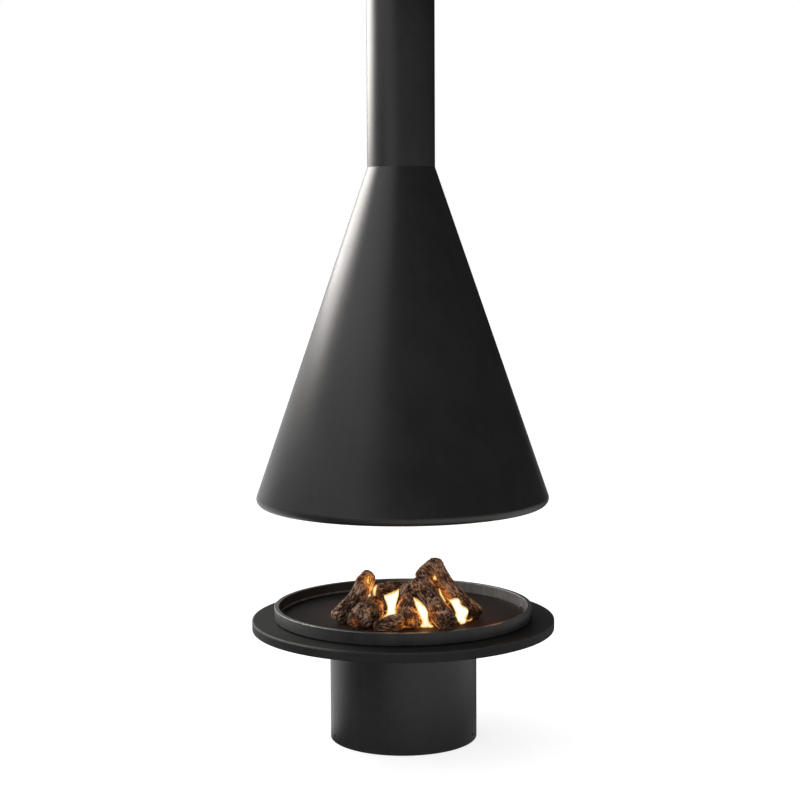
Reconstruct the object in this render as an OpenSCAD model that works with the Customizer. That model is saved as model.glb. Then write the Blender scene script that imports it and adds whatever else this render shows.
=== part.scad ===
// Gas log fire with a hanging hood: a conical steel hood on a flue tube that hangs from the ceiling,
// over a round hearth on a drum pedestal. Millimetres, +Z up, origin at the middle of the pedestal's
// foot on the floor. The front faces -Y and the service door is at the back, on +Y.

/* [Room] */
// Height of the ceiling above the floor
ceiling_z = 2500; // [2400:10:3000]

/* [Hood] */
// Lowest edge of the hood above the floor
hood_z = 782; // [720:2:860]
// Outside diameter of the hood at its rolled lip
hood_d = 962; // [900:2:1100]
// Radius of the rolled lip
lip_r = 22; // [16:1:28]
// How far round the lip is rolled, in degrees past the lowest point
lip_curl = 110; // [90:5:150]
// Height of the hood from its lowest edge to the flue tube
hood_h = 1098; // [1000:2:1200]
// Wall of the hood
hood_wall = 3; // [2:0.5:4]
// How far the hood's neck reaches up into the flue tube
neck_h = 40; // [35:1:60]
// Sheet of the inner hood
inner_wall = 1.5; // [1:0.25:2]
// Space between the hood and the inner hood, at the bottom
inner_space = 38; // [30:1:50]
// Number of brackets that hold the inner hood
spacer_count = 6; // [4:1:8]

/* [Flue] */
// Outside diameter of the visible flue tube
tube_d = 220; // [210:5:250]
// Wall of the visible flue tube
tube_wall = 2.5; // [2:0.5:3]
// Outside diameter of the liner that carries the flue gas
liner_d = 150; // [130:5:150]
// Wall of the liner
liner_wall = 1.5; // [1:0.25:2]
// How far the liner stands above the ceiling, for the next length of flue
liner_above = 60; // [40:5:100]
// Diameter of the rods that carry the hood
rod_d = 10; // [8:1:10]
// Number of rods that carry the hood
rod_count = 3; // [3:1:6]
// Diameter of the ceiling plate
plate_d = 300; // [290:5:320]
// Thickness of the ceiling plate
plate_t = 6; // [5:1:10]
// Pitch circle of the ceiling bolts
plate_pcd = 262; // [256:2:270]
// Diameter of the ceiling bolt holes
bolt_hole_d = 11; // [9:1:13]
// Outside diameter of the ceiling cover
cover_d = 340; // [330:5:400]
// Depth of the ceiling cover
cover_h = 28; // [22:1:40]
// Sheet of the ceiling cover
cover_wall = 2; // [1.5:0.5:3]

/* [Hearth disc] */
// Height of the hearth disc's top above the floor
disc_z = 400; // [390:2:440]
// Diameter of the hearth disc
disc_d = 1000; // [940:5:1100]
// Depth of the hearth disc's edge
disc_h = 32; // [26:1:36]
// Plate of the hearth disc
disc_wall = 5; // [4:0.5:6]
// Rounding of the hearth disc's edge
disc_round = 2.5; // [1:0.5:3]
// Thickness of the plate that closes the disc from below
under_t = 3; // [2:0.5:4]
// How far the closing plate sits up inside the edge
under_recess = 2; // [1:0.5:4]
// Number of ribs inside the disc
rib_count = 12; // [8:2:16]
// Thickness of a rib
rib_t = 6; // [4:1:8]

/* [Fender ring and deck] */
// Outside diameter of the fender ring
fender_d = 852; // [840:2:870]
// Width of the fender ring's top
fender_w = 15; // [12:1:20]
// Height of the fender ring above the hearth disc
fender_h = 43; // [36:1:60]
// Sheet of the fender ring
fender_wall = 3; // [2:0.5:4]
// Shadow gap under the fender ring's outer wall
fender_gap = 5; // [3:1:8]
// Rounding of the fender ring's edges
fender_round = 1.5; // [1:0.25:2]
// Gap between the deck and the fender ring
deck_gap = 9; // [7:1:12]
// Height of the deck above the hearth disc
deck_h = 11; // [10:1:14]
// Plate of the deck
deck_wall = 4; // [3:0.5:5]
// Diameter of the burner opening in the deck
burner_open_d = 460; // [440:5:480]
// Number of clips that centre the deck in the ring
clip_count = 16; // [8:1:24]
// Length of a clip
clip_l = 14; // [8:1:20]

/* [Pedestal] */
// Outside diameter of the pedestal
pedestal_d = 486; // [480:2:540]
// Wall of the pedestal
pedestal_wall = 3; // [2:0.5:4]
// Thickness of the foot plate
foot_t = 8; // [6:1:12]
// Height of the foot plate's upstand
upstand_h = 30; // [20:1:40]
// Wall of the foot plate's upstand
upstand_t = 5; // [4:1:8]
// Pitch circle of the floor anchors
anchor_pcd = 380; // [340:5:400]
// Diameter of the floor anchor holes
anchor_hole_d = 12; // [10:1:14]
// Size of the square posts
post_w = 30; // [24:1:32]
// Wall of the square posts
post_wall = 3; // [2:0.5:4]
// Thickness of the ring on top of the posts
frame_t = 8; // [6:1:10]
// Height of the air slots
slot_h = 34; // [24:1:44]
// Width of the air slots
slot_w = 8; // [6:1:10]
// Number of air slots on each side of the door
slot_count = 7; // [3:1:8]

/* [Service door] */
// Width of the door opening, straight across
door_w = 240; // [200:5:260]
// Height of the door opening
door_h = 240; // [220:5:250]
// Foot of the door opening above the floor
door_z = 66; // [56:2:80]
// Gap round the door
door_gap = 1.5; // [1:0.25:3]
// Radius of a hinge knuckle
knuckle_r = 4; // [3.5:0.25:5]
// Radius of a hinge pin
hinge_pin_r = 2; // [1.5:0.25:2.5]
// Height of one hinge knuckle
knuckle_h = 14; // [10:1:20]
// Radius of the latch spindle
spindle_r = 4; // [3:0.5:5]
// Radius of the latch's thumb turn
thumb_r = 13; // [11:1:16]
// Length of the latch's cam
cam_l = 34; // [28:1:38]

/* [Burner] */
// Inside diameter of the burner bowl
bowl_d = 380; // [370:2:386]
// Depth of the burner bowl below the hearth disc's top
bowl_depth = 58; // [56:1:66]
// Sheet of the burner bowl
bowl_wall = 2.5; // [2:0.5:3]
// Width of the burner bowl's flange
bowl_flange = 38; // [32:1:44]
// Diameter of the burner ring, through the middle of its tube
burner_d = 240; // [200:5:250]
// Radius of the burner ring's tube
burner_r = 11; // [9:0.5:12]
// Wall of the burner's tubes
burner_wall = 1.5; // [1:0.25:2]
// Number of flame ports
port_count = 28; // [12:4:40]
// Radius of a flame port
port_r = 1.5; // [1:0.25:2]
// Height of the burner ring's middle above the bowl's floor
burner_up = 28; // [26:1:30]
// Outside radius of the mixing tube where it meets the burner
mixer_r = 16; // [14:1:18]
// Length of the mixing tube
mixer_l = 85; // [75:1:95]
// Depth of the ember tray below the hearth disc's top
tray_down = 12; // [10:1:14]
// Thickness of the ember bed
ember_h = 9; // [7:1:11]

/* [Gas train] */
// Middle of the gas valve below the burner bowl's floor
valve_down = 172; // [168:1:180]
// Distance of the gas valve and the stop valve behind the middle
valve_y = 130; // [126:1:134]
// Distance of the gas inlet from the post beside it
post_clear = 38; // [34:1:40]
// Height of the stop valve's ball above the floor
stop_z = 65; // [60:1:70]
// Outside radius of the gas pipes
pipe_r = 6; // [5:0.5:7]
// Length of the stop valve's lever
lever_l = 48; // [36:1:50]
// Radius of the control knob
knob_r = 17; // [14:1:20]
// Travel of the ignition button
button_travel = 5; // [3:1:6]

/* [Logs] */
// Seat of each log in the ones below it
log_seat = 0.4; // [0.3:0.1:1]
// Depth of the bark's ridges, as a share of a log's radius
bark = 0.045; // [0.02:0.005:0.07]

/* [Fits] */
// Clearance between pieces that seat on each other
fit = 0.3; // [0.2:0.05:0.5]
// Clearance round a shaft that turns or slides in its bore
run_fit = 0.08; // [0.05:0.01:0.1]
// Clearance of a deck clip on each side
clip_play = 0.6; // [0.4:0.1:1]

/* [Hidden] */

$fn = 96;
charcoal = [0.17, 0.17, 0.175];
steel = [0.62, 0.62, 0.6];
brass = [0.72, 0.58, 0.3];
bark_brown = [0.3, 0.22, 0.17];
over = 1;                       // how far a cut runs past the face that it opens

// ---- Hood outline ----
hood_top_z = hood_z + hood_h;
lip_c = [hood_d / 2 - lip_r, hood_z + lip_r];
neck_p = [tube_d / 2, hood_top_z];
lip_way = lip_c - neck_p;
// Direction of the cone's wall, from the neck down to where it meets the lip
wall_a = atan2(lip_way.y, lip_way.x) + asin(lip_r / norm(lip_way));
wall_n = [-sin(wall_a), cos(wall_a)];
normal_a = atan2(wall_n.y, wall_n.x);
function cone_r(z) = tube_d / 2 - (hood_top_z - z) * cos(wall_a) / sin(wall_a);
hood_wall_flat = hood_wall / wall_n.x;      // the wall measured level
neck_r = tube_d / 2 - tube_wall - fit;
neck_in = neck_r - hood_wall;

// ---- Inner hood ----
inner_z0 = hood_z + 2 * lip_r + 8;
inner_z1 = hood_top_z - 80;
inner_collar = 40;
inner_top_r = liner_d / 2 + fit;
inner_foot_r = cone_r(inner_z0) - hood_wall_flat - inner_space;
function inner_r(z) =
    inner_foot_r + (inner_top_r - inner_foot_r) * (z - inner_z0) / (inner_z1 - inner_z0);

spacer_foot = 14;               // height of a bracket over the inner hood's foot
spacer_h = 46;
spacer_t = 4;

// ---- Hanger ----
rod_ring = (liner_d / 2 + neck_in) / 2;
flange_t = 6;
flange_z = hood_top_z + neck_h - 16;
nut_h = 8;
nut_r = rod_d * 0.92;
rod_z0 = flange_z - nut_h - fit - 5;
plate_z = ceiling_z - plate_t;
plate_hole_r = liner_d / 2 + 3;
grub_r = 2;
grub_up = 7;                    // height of the cover's grub screws over its foot

// ---- Liner's spigot, that the next length of flue slides over ----
liner_top = ceiling_z + liner_above;
spigot_h = liner_above - 10;
spigot_r = liner_d / 2 - 0.5;
bead_r = liner_d / 2 + 2;       // a bead that the next length stops at
bead_h = 4;

// ---- Hearth ----
disc_r = disc_d / 2;
disc_foot_z = disc_z - disc_h;
under_z = disc_foot_z + under_recess;
bowl_r = bowl_d / 2;
bowl_out = bowl_r + bowl_wall;
disc_hole_r = bowl_r + 22;
frame_in = disc_hole_r - 7;
fender_r = fender_d / 2;
fender_in = fender_r - fender_w;
fender_z = disc_z + fender_h;
deck_r = fender_in - deck_gap;
deck_z = disc_z + deck_h;
open_r = burner_open_d / 2;
small_screw_r = 2.5;
screw_ring = disc_r - disc_wall - 14;
grate_r = open_r - fit;
bar_r = 4;
bar_pitch = 58;
bar_sink = 0.3;                 // the bars' tops lie a little under the ring's top
bar_rows = 2.5;                 // rows of bars on each side of the middle

// ---- Pedestal ----
drum_r = pedestal_d / 2;
drum_in = drum_r - pedestal_wall;
foot_r = drum_in - fit;
drum_foot_z = 1;
drum_top_z = under_z - fit;
post_ring = foot_r - upstand_t - post_w / 2 - 4;
// The gas inlet stands inside the left rear post, and the stop valve over it
stop_x = (post_ring - post_w / 2 - post_clear) * sqrt(2) - valve_y;
inlet_p = [-stop_x, valve_y];
inlet_hole_r = 20;
shell_screw_turns = [20, 160, 200, 340];
shell_screw_levels = [foot_t + upstand_h / 2, drum_top_z - 2 * small_screw_r - 1];

// ---- Service door ----
hinge_a = 90 + asin((door_w / 2 + door_gap) / drum_r);
hinge_ring = drum_r + knuckle_r + 1;
hinge_p = hinge_ring * [cos(hinge_a), sin(hinge_a)];
hinge_levels = [door_z + 36, door_z + door_h - 36 - 2 * knuckle_h];
latch_in = 24;                  // distance of the latch from the edge of the opening
latch_a = 90 - asin((door_w / 2 - latch_in) / drum_r);
latch_z = door_z + door_h / 2;

// ---- Burner ----
floor_z = disc_z - bowl_depth;
floor_top = floor_z + bowl_wall;
burner_z = floor_top + burner_up;
hub_r = 22;
hub_wall = 2.5;
mixer_top = burner_z - burner_r;
mixer_foot = mixer_top - mixer_l;
tray_z = disc_z - tray_down;
tray_t = 2;
tray_r = bowl_r - 0.5;
pilot_y = valve_y + 15;
pilot_x = -25;
probe_x = -8;
spark_x = 10;
pilot_hole_r = 5;

// ---- Gas train ----
valve_z = floor_z - valve_down;
valve_size = [80, 52, 60];
valve_front = valve_y + valve_size.y / 2;
valve_top = valve_z + valve_size.z / 2;
valve_boss_h = 8;
valve_bore = 16;
outlet_y = valve_y - 8;
panel_t = 3;
panel_y = valve_front + fit;
panel_down = 50;                // how far the panel reaches below the valve's middle
panel_up = 60;
bend_r = 20;
injector_z = mixer_foot - 14;
injector_r = 8;
knob_y = panel_y + panel_t + 3;
knob_h = 16;
knob_shaft_r = 4;
spark_box = [70, valve_z + 20];
igniter_r = 9;
igniter_back = 42;
igniter_nose = 5;
button_r = 6;
button_deep = 10;               // depth of the button's bore behind the panel
lever_shaft_r = 4;
stop_half = 35;
inlet_r = 8;
inlet_z = 1;

// The spark lead, from the back of the igniter to the foot of the electrode
lead_r = 2;
lead_back = [spark_box.x, panel_y - igniter_back - 4 - 2 * fit, spark_box.y];
lead_rise = lead_back + [-2, -22, 44];
lead_top = [spark_x, pilot_y, floor_top - 1];

// ---- Log set ----
// Each log has three points of its axis over the deck, the radius at each, and a turn of its bark
log_rear = [[[-89, 118, 34], [-28, 134, 38], [45, 168, 36]], [33, 38, 36], 20];
log_left = [[[-131, -212, 36], [-111, -128, 33], [-96, -44, 38]], [36, 40, 35], 75];
log_front = [[[-77, -252, 21], [-42, -243, 24], [-13, -238, 25]], [20, 25, 23], 140];
log_middle = [[[27, -223, 25], [25, -64, 46], [26, 92, 61]], [25, 29, 31], 200];
log_right = [[[164, -112, 22], [161, -58, 24], [160, 16, 23]], [22, 24, 23], 260];
log_lean_left = [[[-204, -132, 22], [-161, -106, 84], [-120, -40, 130]], [31, 28, 26], 310];
log_lean_long = [[[139, -231, 28], [103, -113, 61], [63, -28, 103]], [30, 29, 28], 35];
log_lean_right = [[[231, -75, 21], [150, -25, 86], [93, 24, 144]], [24, 27, 43], 110];
log_sides = 20;
log_steps = 9;
log_dome = 0.62;                // how far a log's end bulges, as a share of its radius
dome_turns = [72, 48, 24];

// ================= shapes that several pieces share =================

function arc(c, r, a0, a1, n) =
    [for (i = [0 : n]) let (a = a0 + (a1 - a0) * i / n) c + r * [cos(a), sin(a)]];

// A curve through three values, at t from 0 to 1; it serves points and radii alike
function along(v, t) =
    let (bow = 2 * v[1] - (v[0] + v[2]) / 2)
    (1 - t) * (1 - t) * v[0] + 2 * t * (1 - t) * bow + t * t * v[2];

function unit(v) = v / norm(v);

// Faces of a closed skin over m rings of n points each
function skin_faces(m, n) = concat(
    [[for (i = [0 : n - 1]) i]],
    [for (j = [0 : m - 2]) for (i = [0 : n - 1])
        let (a = j * n + i, b = j * n + (i + 1) % n)
        each [[a, b + n, b], [a, a + n, b + n]]],
    [[for (i = [n - 1 : -1 : 0]) (m - 1) * n + i]]
);

// Unit vectors across a direction
function across(d) = unit(cross(d, abs(d.z) < 0.9 ? [0, 0, 1] : [0, 1, 0]));

module swept_tube(points, r, sides = 8) {
    n = len(points);
    rings = [for (i = [0 : n - 1])
        let (d = unit(points[min(i + 1, n - 1)] - points[max(i - 1, 0)]))
        let (u = across(d))
        let (v = cross(d, u))
        each [for (k = [0 : sides - 1]) let (a = 360 * k / sides)
            points[i] + r * (cos(a) * u + sin(a) * v)]];
    polyhedron(rings, skin_faces(n, sides));
}

module ring(r_out, r_in, z0, z1) {
    difference() {
        translate([0, 0, z0]) cylinder(r = r_out, h = z1 - z0);
        translate([0, 0, z0 - over]) cylinder(r = r_in, h = z1 - z0 + 2 * over);
    }
}

module around(count, r = 0, start = 0) {
    for (i = [0 : count - 1])
        rotate([0, 0, start + 360 * i / count]) translate([r, 0, 0]) children();
}

// A bent quarter of pipe: it starts at the origin along +Z and leaves along +X
module quarter_bend(r_pipe, r_bend) {
    translate([r_bend, 0, 0]) rotate([90, 0, 180])
        rotate_extrude(angle = 90) translate([r_bend, 0]) circle(r_pipe);
}

// ================= hood and flue =================

module hood_cone() {
    color(charcoal)
    rotate_extrude() polygon(concat(
        [[neck_r, hood_top_z + neck_h], [neck_r, hood_top_z], neck_p],
        arc(lip_c, lip_r, normal_a, -90 - lip_curl, 26),
        arc(lip_c, lip_r - hood_wall, -90 - lip_curl, normal_a, 26),
        [[cone_r(hood_top_z - 12) - hood_wall_flat, hood_top_z - 12],
         [neck_in, hood_top_z - hood_wall], [neck_in, hood_top_z + neck_h]]
    ));
}

// The inner hood gathers the fumes and keeps the outer hood cool
module inner_hood() {
    color(steel)
    rotate_extrude() polygon([
        [inner_foot_r, inner_z0], [inner_foot_r + 12, inner_z0],
        [inner_foot_r + 12, inner_z0 + inner_wall],
        [inner_r(inner_z0 + inner_wall) + inner_wall, inner_z0 + inner_wall],
        [inner_top_r + inner_wall, inner_z1], [inner_top_r + inner_wall, inner_z1 + inner_collar],
        [inner_top_r, inner_z1 + inner_collar], [inner_top_r, inner_z1]
    ]);
}

// Upright brackets between the two hoods, cut to both slopes
module hood_spacers() {
    za = inner_z0 + spacer_foot;
    zb = za + spacer_h;
    color(steel)
    intersection() {
        rotate_extrude() polygon([
            [inner_r(za) + inner_wall + 2 * fit, za], [cone_r(za) - hood_wall_flat - fit, za],
            [cone_r(zb) - hood_wall_flat - fit, zb], [inner_r(zb) + inner_wall + 2 * fit, zb]
        ]);
        around(spacer_count, 0, 30)
            translate([0, -spacer_t / 2, za]) cube([hood_d / 2, spacer_t, spacer_h]);
    }
}

module neck_flange() {
    color(steel)
    difference() {
        ring(neck_in - fit, liner_d / 2 + 2, flange_z, flange_z + flange_t);
        around(rod_count, rod_ring) translate([0, 0, flange_z - over])
            cylinder(r = rod_d / 2 + fit, h = flange_t + 2 * over, $fn = 32);
    }
}

module hanger_rods() {
    color(steel)
    around(rod_count, rod_ring) translate([0, 0, rod_z0])
        cylinder(r = rod_d / 2, h = ceiling_z - rod_z0, $fn = 32);
}

module nut(z) {
    translate([0, 0, z]) difference() {
        cylinder(r = nut_r, h = nut_h, $fn = 6);
        translate([0, 0, -over]) cylinder(r = rod_d / 2 + fit, h = nut_h + 2 * over, $fn = 32);
    }
}

module hanger_nuts() {
    color(steel)
    around(rod_count, rod_ring) {
        nut(flange_z - nut_h - fit);
        nut(flange_z + flange_t + fit);
        nut(plate_z - nut_h - fit);
    }
}

module flue_tube() {
    color(charcoal)
    ring(tube_d / 2, tube_d / 2 - tube_wall, hood_top_z + fit, plate_z - fit);
}

module flue_liner() {
    color(steel)
    difference() {
        union() {
            translate([0, 0, inner_z1 + fit])
                cylinder(r = liner_d / 2, h = liner_top - spigot_h - bead_h / 2 - inner_z1 - fit);
            translate([0, 0, liner_top - spigot_h - bead_h]) cylinder(r = bead_r, h = bead_h);
            translate([0, 0, inner_z1 + fit]) cylinder(r = spigot_r, h = liner_top - inner_z1 - fit);
        }
        translate([0, 0, inner_z1]) cylinder(r = liner_d / 2 - liner_wall, h = liner_top - inner_z1 + over);
    }
}

module ceiling_plate() {
    color(steel)
    difference() {
        ring(plate_d / 2, plate_hole_r, plate_z, ceiling_z);
        around(rod_count, rod_ring) translate([0, 0, plate_z - over])
            cylinder(r = rod_d / 2 + fit, h = plate_t + 2 * over, $fn = 32);
        around(4, plate_pcd / 2, 45) translate([0, 0, plate_z - over])
            cylinder(r = bolt_hole_d / 2, h = plate_t + 2 * over, $fn = 32);
    }
}

// A shallow dish that hides the plate; its hub grips the tube with three grub screws
module ceiling_cover() {
    z0 = ceiling_z - cover_h;
    hub_in = tube_d / 2 + fit;
    color(charcoal)
    difference() {
        rotate_extrude() polygon(concat(
            [[hub_in, z0], [cover_d / 2 - 4, z0]],
            arc([cover_d / 2 - 4, z0 + 4], 4, -90, 0, 6),
            [[cover_d / 2, ceiling_z], [cover_d / 2 - cover_wall, ceiling_z],
             [cover_d / 2 - cover_wall, z0 + cover_wall + 2],
             [cover_d / 2 - cover_wall - 2, z0 + cover_wall],
             [hub_in + 4, z0 + cover_wall], [hub_in + 4, z0 + 12], [hub_in, z0 + 12]]
        ));
        around(3, hub_in - over, 90) translate([0, 0, z0 + grub_up]) rotate([0, 90, 0])
            cylinder(r = grub_r + fit, h = 4 + 2 * over, $fn = 24);
    }
}

module cover_screws() {
    color(steel)
    around(3, tube_d / 2 + 2 * fit, 90) translate([0, 0, ceiling_z - cover_h + grub_up])
        rotate([0, 90, 0]) cylinder(r = grub_r, h = 5, $fn = 24);
}

// ================= hearth =================

module hearth_disc() {
    flange_foot = under_z + under_t + fit;
    color(charcoal)
    rotate_extrude() polygon(concat(
        [[disc_hole_r, disc_z]],
        arc([disc_r - disc_round, disc_z - disc_round], disc_round, 90, 0, 6),
        arc([disc_r - disc_round, disc_foot_z + disc_round], disc_round, 0, -90, 6),
        [[disc_r - disc_wall, disc_foot_z], [disc_r - disc_wall, disc_z - disc_wall],
         [disc_hole_r + disc_wall, disc_z - disc_wall], [disc_hole_r + disc_wall, flange_foot],
         [disc_hole_r, flange_foot]]
    ));
}

module disc_underplate() {
    color(charcoal)
    difference() {
        ring(disc_r - disc_wall - fit, disc_hole_r, under_z, under_z + under_t);
        around(rib_count, screw_ring, 180 / rib_count) translate([0, 0, under_z - over])
            cylinder(r = small_screw_r + fit, h = under_t + 2 * over, $fn = 24);
    }
}

module disc_ribs() {
    z0 = under_z + under_t + fit;
    r0 = disc_hole_r + disc_wall + fit;
    color(steel)
    around(rib_count, r0)
        translate([0, -rib_t / 2, z0])
            cube([disc_r - disc_wall - 1 - r0, rib_t, disc_z - disc_wall - fit - z0]);
}

module button_screw(length) {
    cylinder(r = small_screw_r, h = length, $fn = 24);
    translate([0, 0, -2.5]) cylinder(r1 = small_screw_r + 0.5, r2 = 2 * small_screw_r, h = 2.5, $fn = 24);
}

module underplate_screws() {
    color(steel)
    around(rib_count, screw_ring, 180 / rib_count) translate([0, 0, under_z - fit]) button_screw(10);
}

// A folded channel: the inner wall stands on the disc and the outer one stops short, for a shadow line
module fender_ring() {
    r1 = fender_round;
    color(charcoal)
    rotate_extrude() polygon(concat(
        arc([fender_r - r1, fender_z - r1], r1, 90, 0, 5),
        [[fender_r, disc_z + fender_gap], [fender_r - fender_wall, disc_z + fender_gap],
         [fender_r - fender_wall, fender_z - fender_wall],
         [fender_in + fender_wall, fender_z - fender_wall],
         [fender_in + fender_wall, disc_z], [fender_in, disc_z]],
        arc([fender_in + r1, fender_z - r1], r1, 180, 90, 5)
    ));
}

module deck_plate() {
    color(charcoal)
    rotate_extrude() polygon(concat(
        [[open_r, deck_z]],
        arc([deck_r - 2, deck_z - 2], 2, 90, 0, 5),
        [[deck_r, disc_z], [deck_r - deck_wall, disc_z], [deck_r - deck_wall, deck_z - deck_wall],
         [open_r, deck_z - deck_wall]]
    ));
}

// Small forked clips in the gap between the deck and the ring
module deck_clips() {
    clip_w = deck_gap - 2 * clip_play;
    color(steel)
    around(clip_count, deck_r + clip_play, 15)
        difference() {
            translate([0, -clip_l / 2, disc_z]) cube([clip_w, clip_l, deck_h + 1]);
            translate([-over, -clip_l / 6, disc_z + deck_h - 4]) cube([clip_w + 2 * over, clip_l / 3, 6]);
        }
}

// A ring in the burner opening with round bars across it, level with the deck
module log_grate() {
    z0 = disc_z + bowl_wall;
    color(charcoal)
    union() {
        ring(grate_r, grate_r - 8, z0, deck_z);
        for (i = [-bar_rows : bar_rows]) {
            half = sqrt(pow(grate_r - 4, 2) - pow(i * bar_pitch, 2));
            translate([-half, i * bar_pitch, deck_z - bar_r - bar_sink]) rotate([0, 90, 0])
                cylinder(r = bar_r, h = 2 * half, $fn = 24);
        }
    }
}

// ================= pedestal =================

module foot_plate() {
    color(charcoal)
    difference() {
        union() {
            cylinder(r = foot_r, h = foot_t);
            ring(foot_r, foot_r - upstand_t, 0, foot_t + upstand_h);
        }
        around(4, anchor_pcd / 2, 45) translate([0, 0, -over])
            cylinder(r = anchor_hole_d / 2, h = foot_t + 2 * over, $fn = 32);
        translate([inlet_p.x, inlet_p.y, -over])
            cylinder(r = inlet_hole_r, h = foot_t + 2 * over, $fn = 48);
    }
}

module support_frame() {
    post_top = drum_top_z - frame_t;
    color(steel)
    union() {
        ring(foot_r, frame_in, post_top, drum_top_z);
        around(4, post_ring, 45)
            difference() {
                translate([-post_w / 2, -post_w / 2, foot_t])
                    cube([post_w, post_w, post_top - foot_t + over]);
                translate([-post_w / 2 + post_wall, -post_w / 2 + post_wall, foot_t - over])
                    cube([post_w - 2 * post_wall, post_w - 2 * post_wall, post_top - foot_t]);
            }
    }
}

// A knuckle with its web to the drum, at one level of the hinge line
module knuckle(z, toward) {
    web_l = knuckle_r + 5;
    root_l = web_l - knuckle_r;
    rotate([0, 0, hinge_a]) {
        translate([hinge_ring, 0, z]) cylinder(r = knuckle_r, h = knuckle_h, $fn = 32);
        translate([drum_r + fit, min(0, toward * web_l), z]) cube([knuckle_r, web_l, knuckle_h]);
        translate([drum_r - 1, min(toward * knuckle_r, toward * web_l), z])
            cube([knuckle_r, root_l, knuckle_h]);
    }
}

module knuckle_bore(z) {
    translate([hinge_p.x, hinge_p.y, z - over])
        cylinder(r = hinge_pin_r + run_fit, h = knuckle_h + 2 * over, $fn = 32);
}

module door_cut(grow) {
    translate([-door_w / 2 - grow, 0, door_z - grow])
        cube([door_w + 2 * grow, drum_r + 2, door_h + 2 * grow]);
}

module pedestal_shell() {
    color(charcoal)
    difference() {
        union() {
            difference() {
                ring(drum_r, drum_in, drum_foot_z, drum_top_z);
                door_cut(0);
            }
            for (z = hinge_levels) difference() {
                knuckle(z, 1);
                translate([0, 0, z - over]) cylinder(r = drum_in + 1, h = knuckle_h + 2 * over);
            }
        }
        for (z = hinge_levels) knuckle_bore(z);
        for (side = [-1, 1]) for (i = [0 : slot_count - 1])
            rotate([0, 0, 90 + side * (hinge_a - 90 + 14 + 5 * i)])
                translate([drum_in - over, -slot_w / 2, foot_t + upstand_h + 12])
                    cube([pedestal_wall + 2 * over, slot_w, slot_h]);
        for (a = shell_screw_turns) for (z = shell_screw_levels)
            rotate([0, 0, a]) translate([drum_in - over, 0, z]) rotate([0, 90, 0])
                cylinder(r = small_screw_r + fit, h = pedestal_wall + 2 * over, $fn = 24);
    }
}

module shell_screws() {
    color(steel)
    for (a = shell_screw_turns) for (z = shell_screw_levels)
        rotate([0, 0, a]) translate([drum_r + fit, 0, z]) rotate([0, -90, 0]) button_screw(pedestal_wall);
}

module access_door() {
    color(charcoal)
    difference() {
        union() {
            intersection() {
                ring(drum_r, drum_in, door_z, door_z + door_h);
                door_cut(-door_gap);
            }
            for (z = hinge_levels) difference() {
                knuckle(z + knuckle_h + fit, -1);
                translate([0, 0, z]) cylinder(r = drum_in + 1, h = 3 * knuckle_h);
            }
        }
        for (z = hinge_levels) knuckle_bore(z + knuckle_h + fit);
        rotate([0, 0, latch_a]) translate([drum_in - 2, 0, latch_z]) rotate([0, 90, 0])
            cylinder(r = spindle_r + run_fit, h = pedestal_wall + 4, $fn = 32);
    }
}

module hinge_pins() {
    color(steel)
    for (z = hinge_levels) translate([hinge_p.x, hinge_p.y, z]) {
        cylinder(r = hinge_pin_r, h = 2 * knuckle_h + 2 * fit + 2, $fn = 32);
        translate([0, 0, 2 * knuckle_h + 2 * fit]) cylinder(r = knuckle_r - 0.5, h = 2, $fn = 32);
    }
}

// Thumb turn outside, spindle through the door, cam inside; at rest the cam hangs down, clear of the frame
module door_latch() {
    cam_t = 3;
    cam_x = sqrt(pow(drum_in, 2) - pow(cam_l, 2)) - cam_t - 1;
    color(steel)
    rotate([0, 0, latch_a]) translate([0, 0, latch_z]) {
        translate([cam_x, 0, 0]) rotate([0, 90, 0])
            cylinder(r = spindle_r, h = drum_r + 8 - cam_x, $fn = 32);
        translate([drum_r + 1, 0, 0]) rotate([0, 90, 0]) cylinder(r = thumb_r, h = 4, $fn = 48);
        translate([drum_r + 4, -3, -thumb_r + 2]) cube([9, 6, 2 * thumb_r - 4]);
        translate([cam_x, -6, -cam_l]) cube([cam_t, 12, cam_l + 7]);
    }
}

// ================= burner =================

module burner_bowl() {
    color(steel)
    difference() {
        rotate_extrude() polygon([
            [0, floor_z], [bowl_out, floor_z], [bowl_out, disc_z], [bowl_r + bowl_flange, disc_z],
            [bowl_r + bowl_flange, disc_z + bowl_wall], [bowl_r, disc_z + bowl_wall],
            [bowl_r, floor_top], [0, floor_top]
        ]);
        translate([0, 0, floor_z - over]) cylinder(r = mixer_r + 2, h = bowl_wall + 2 * over, $fn = 48);
        around(12, 76, 15) translate([0, 0, floor_z - over])
            cylinder(r = 6, h = bowl_wall + 2 * over, $fn = 24);
        for (x = [pilot_x, probe_x, spark_x]) translate([x, pilot_y, floor_z - over])
            cylinder(r = pilot_hole_r, h = bowl_wall + 2 * over, $fn = 24);
    }
}

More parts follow.
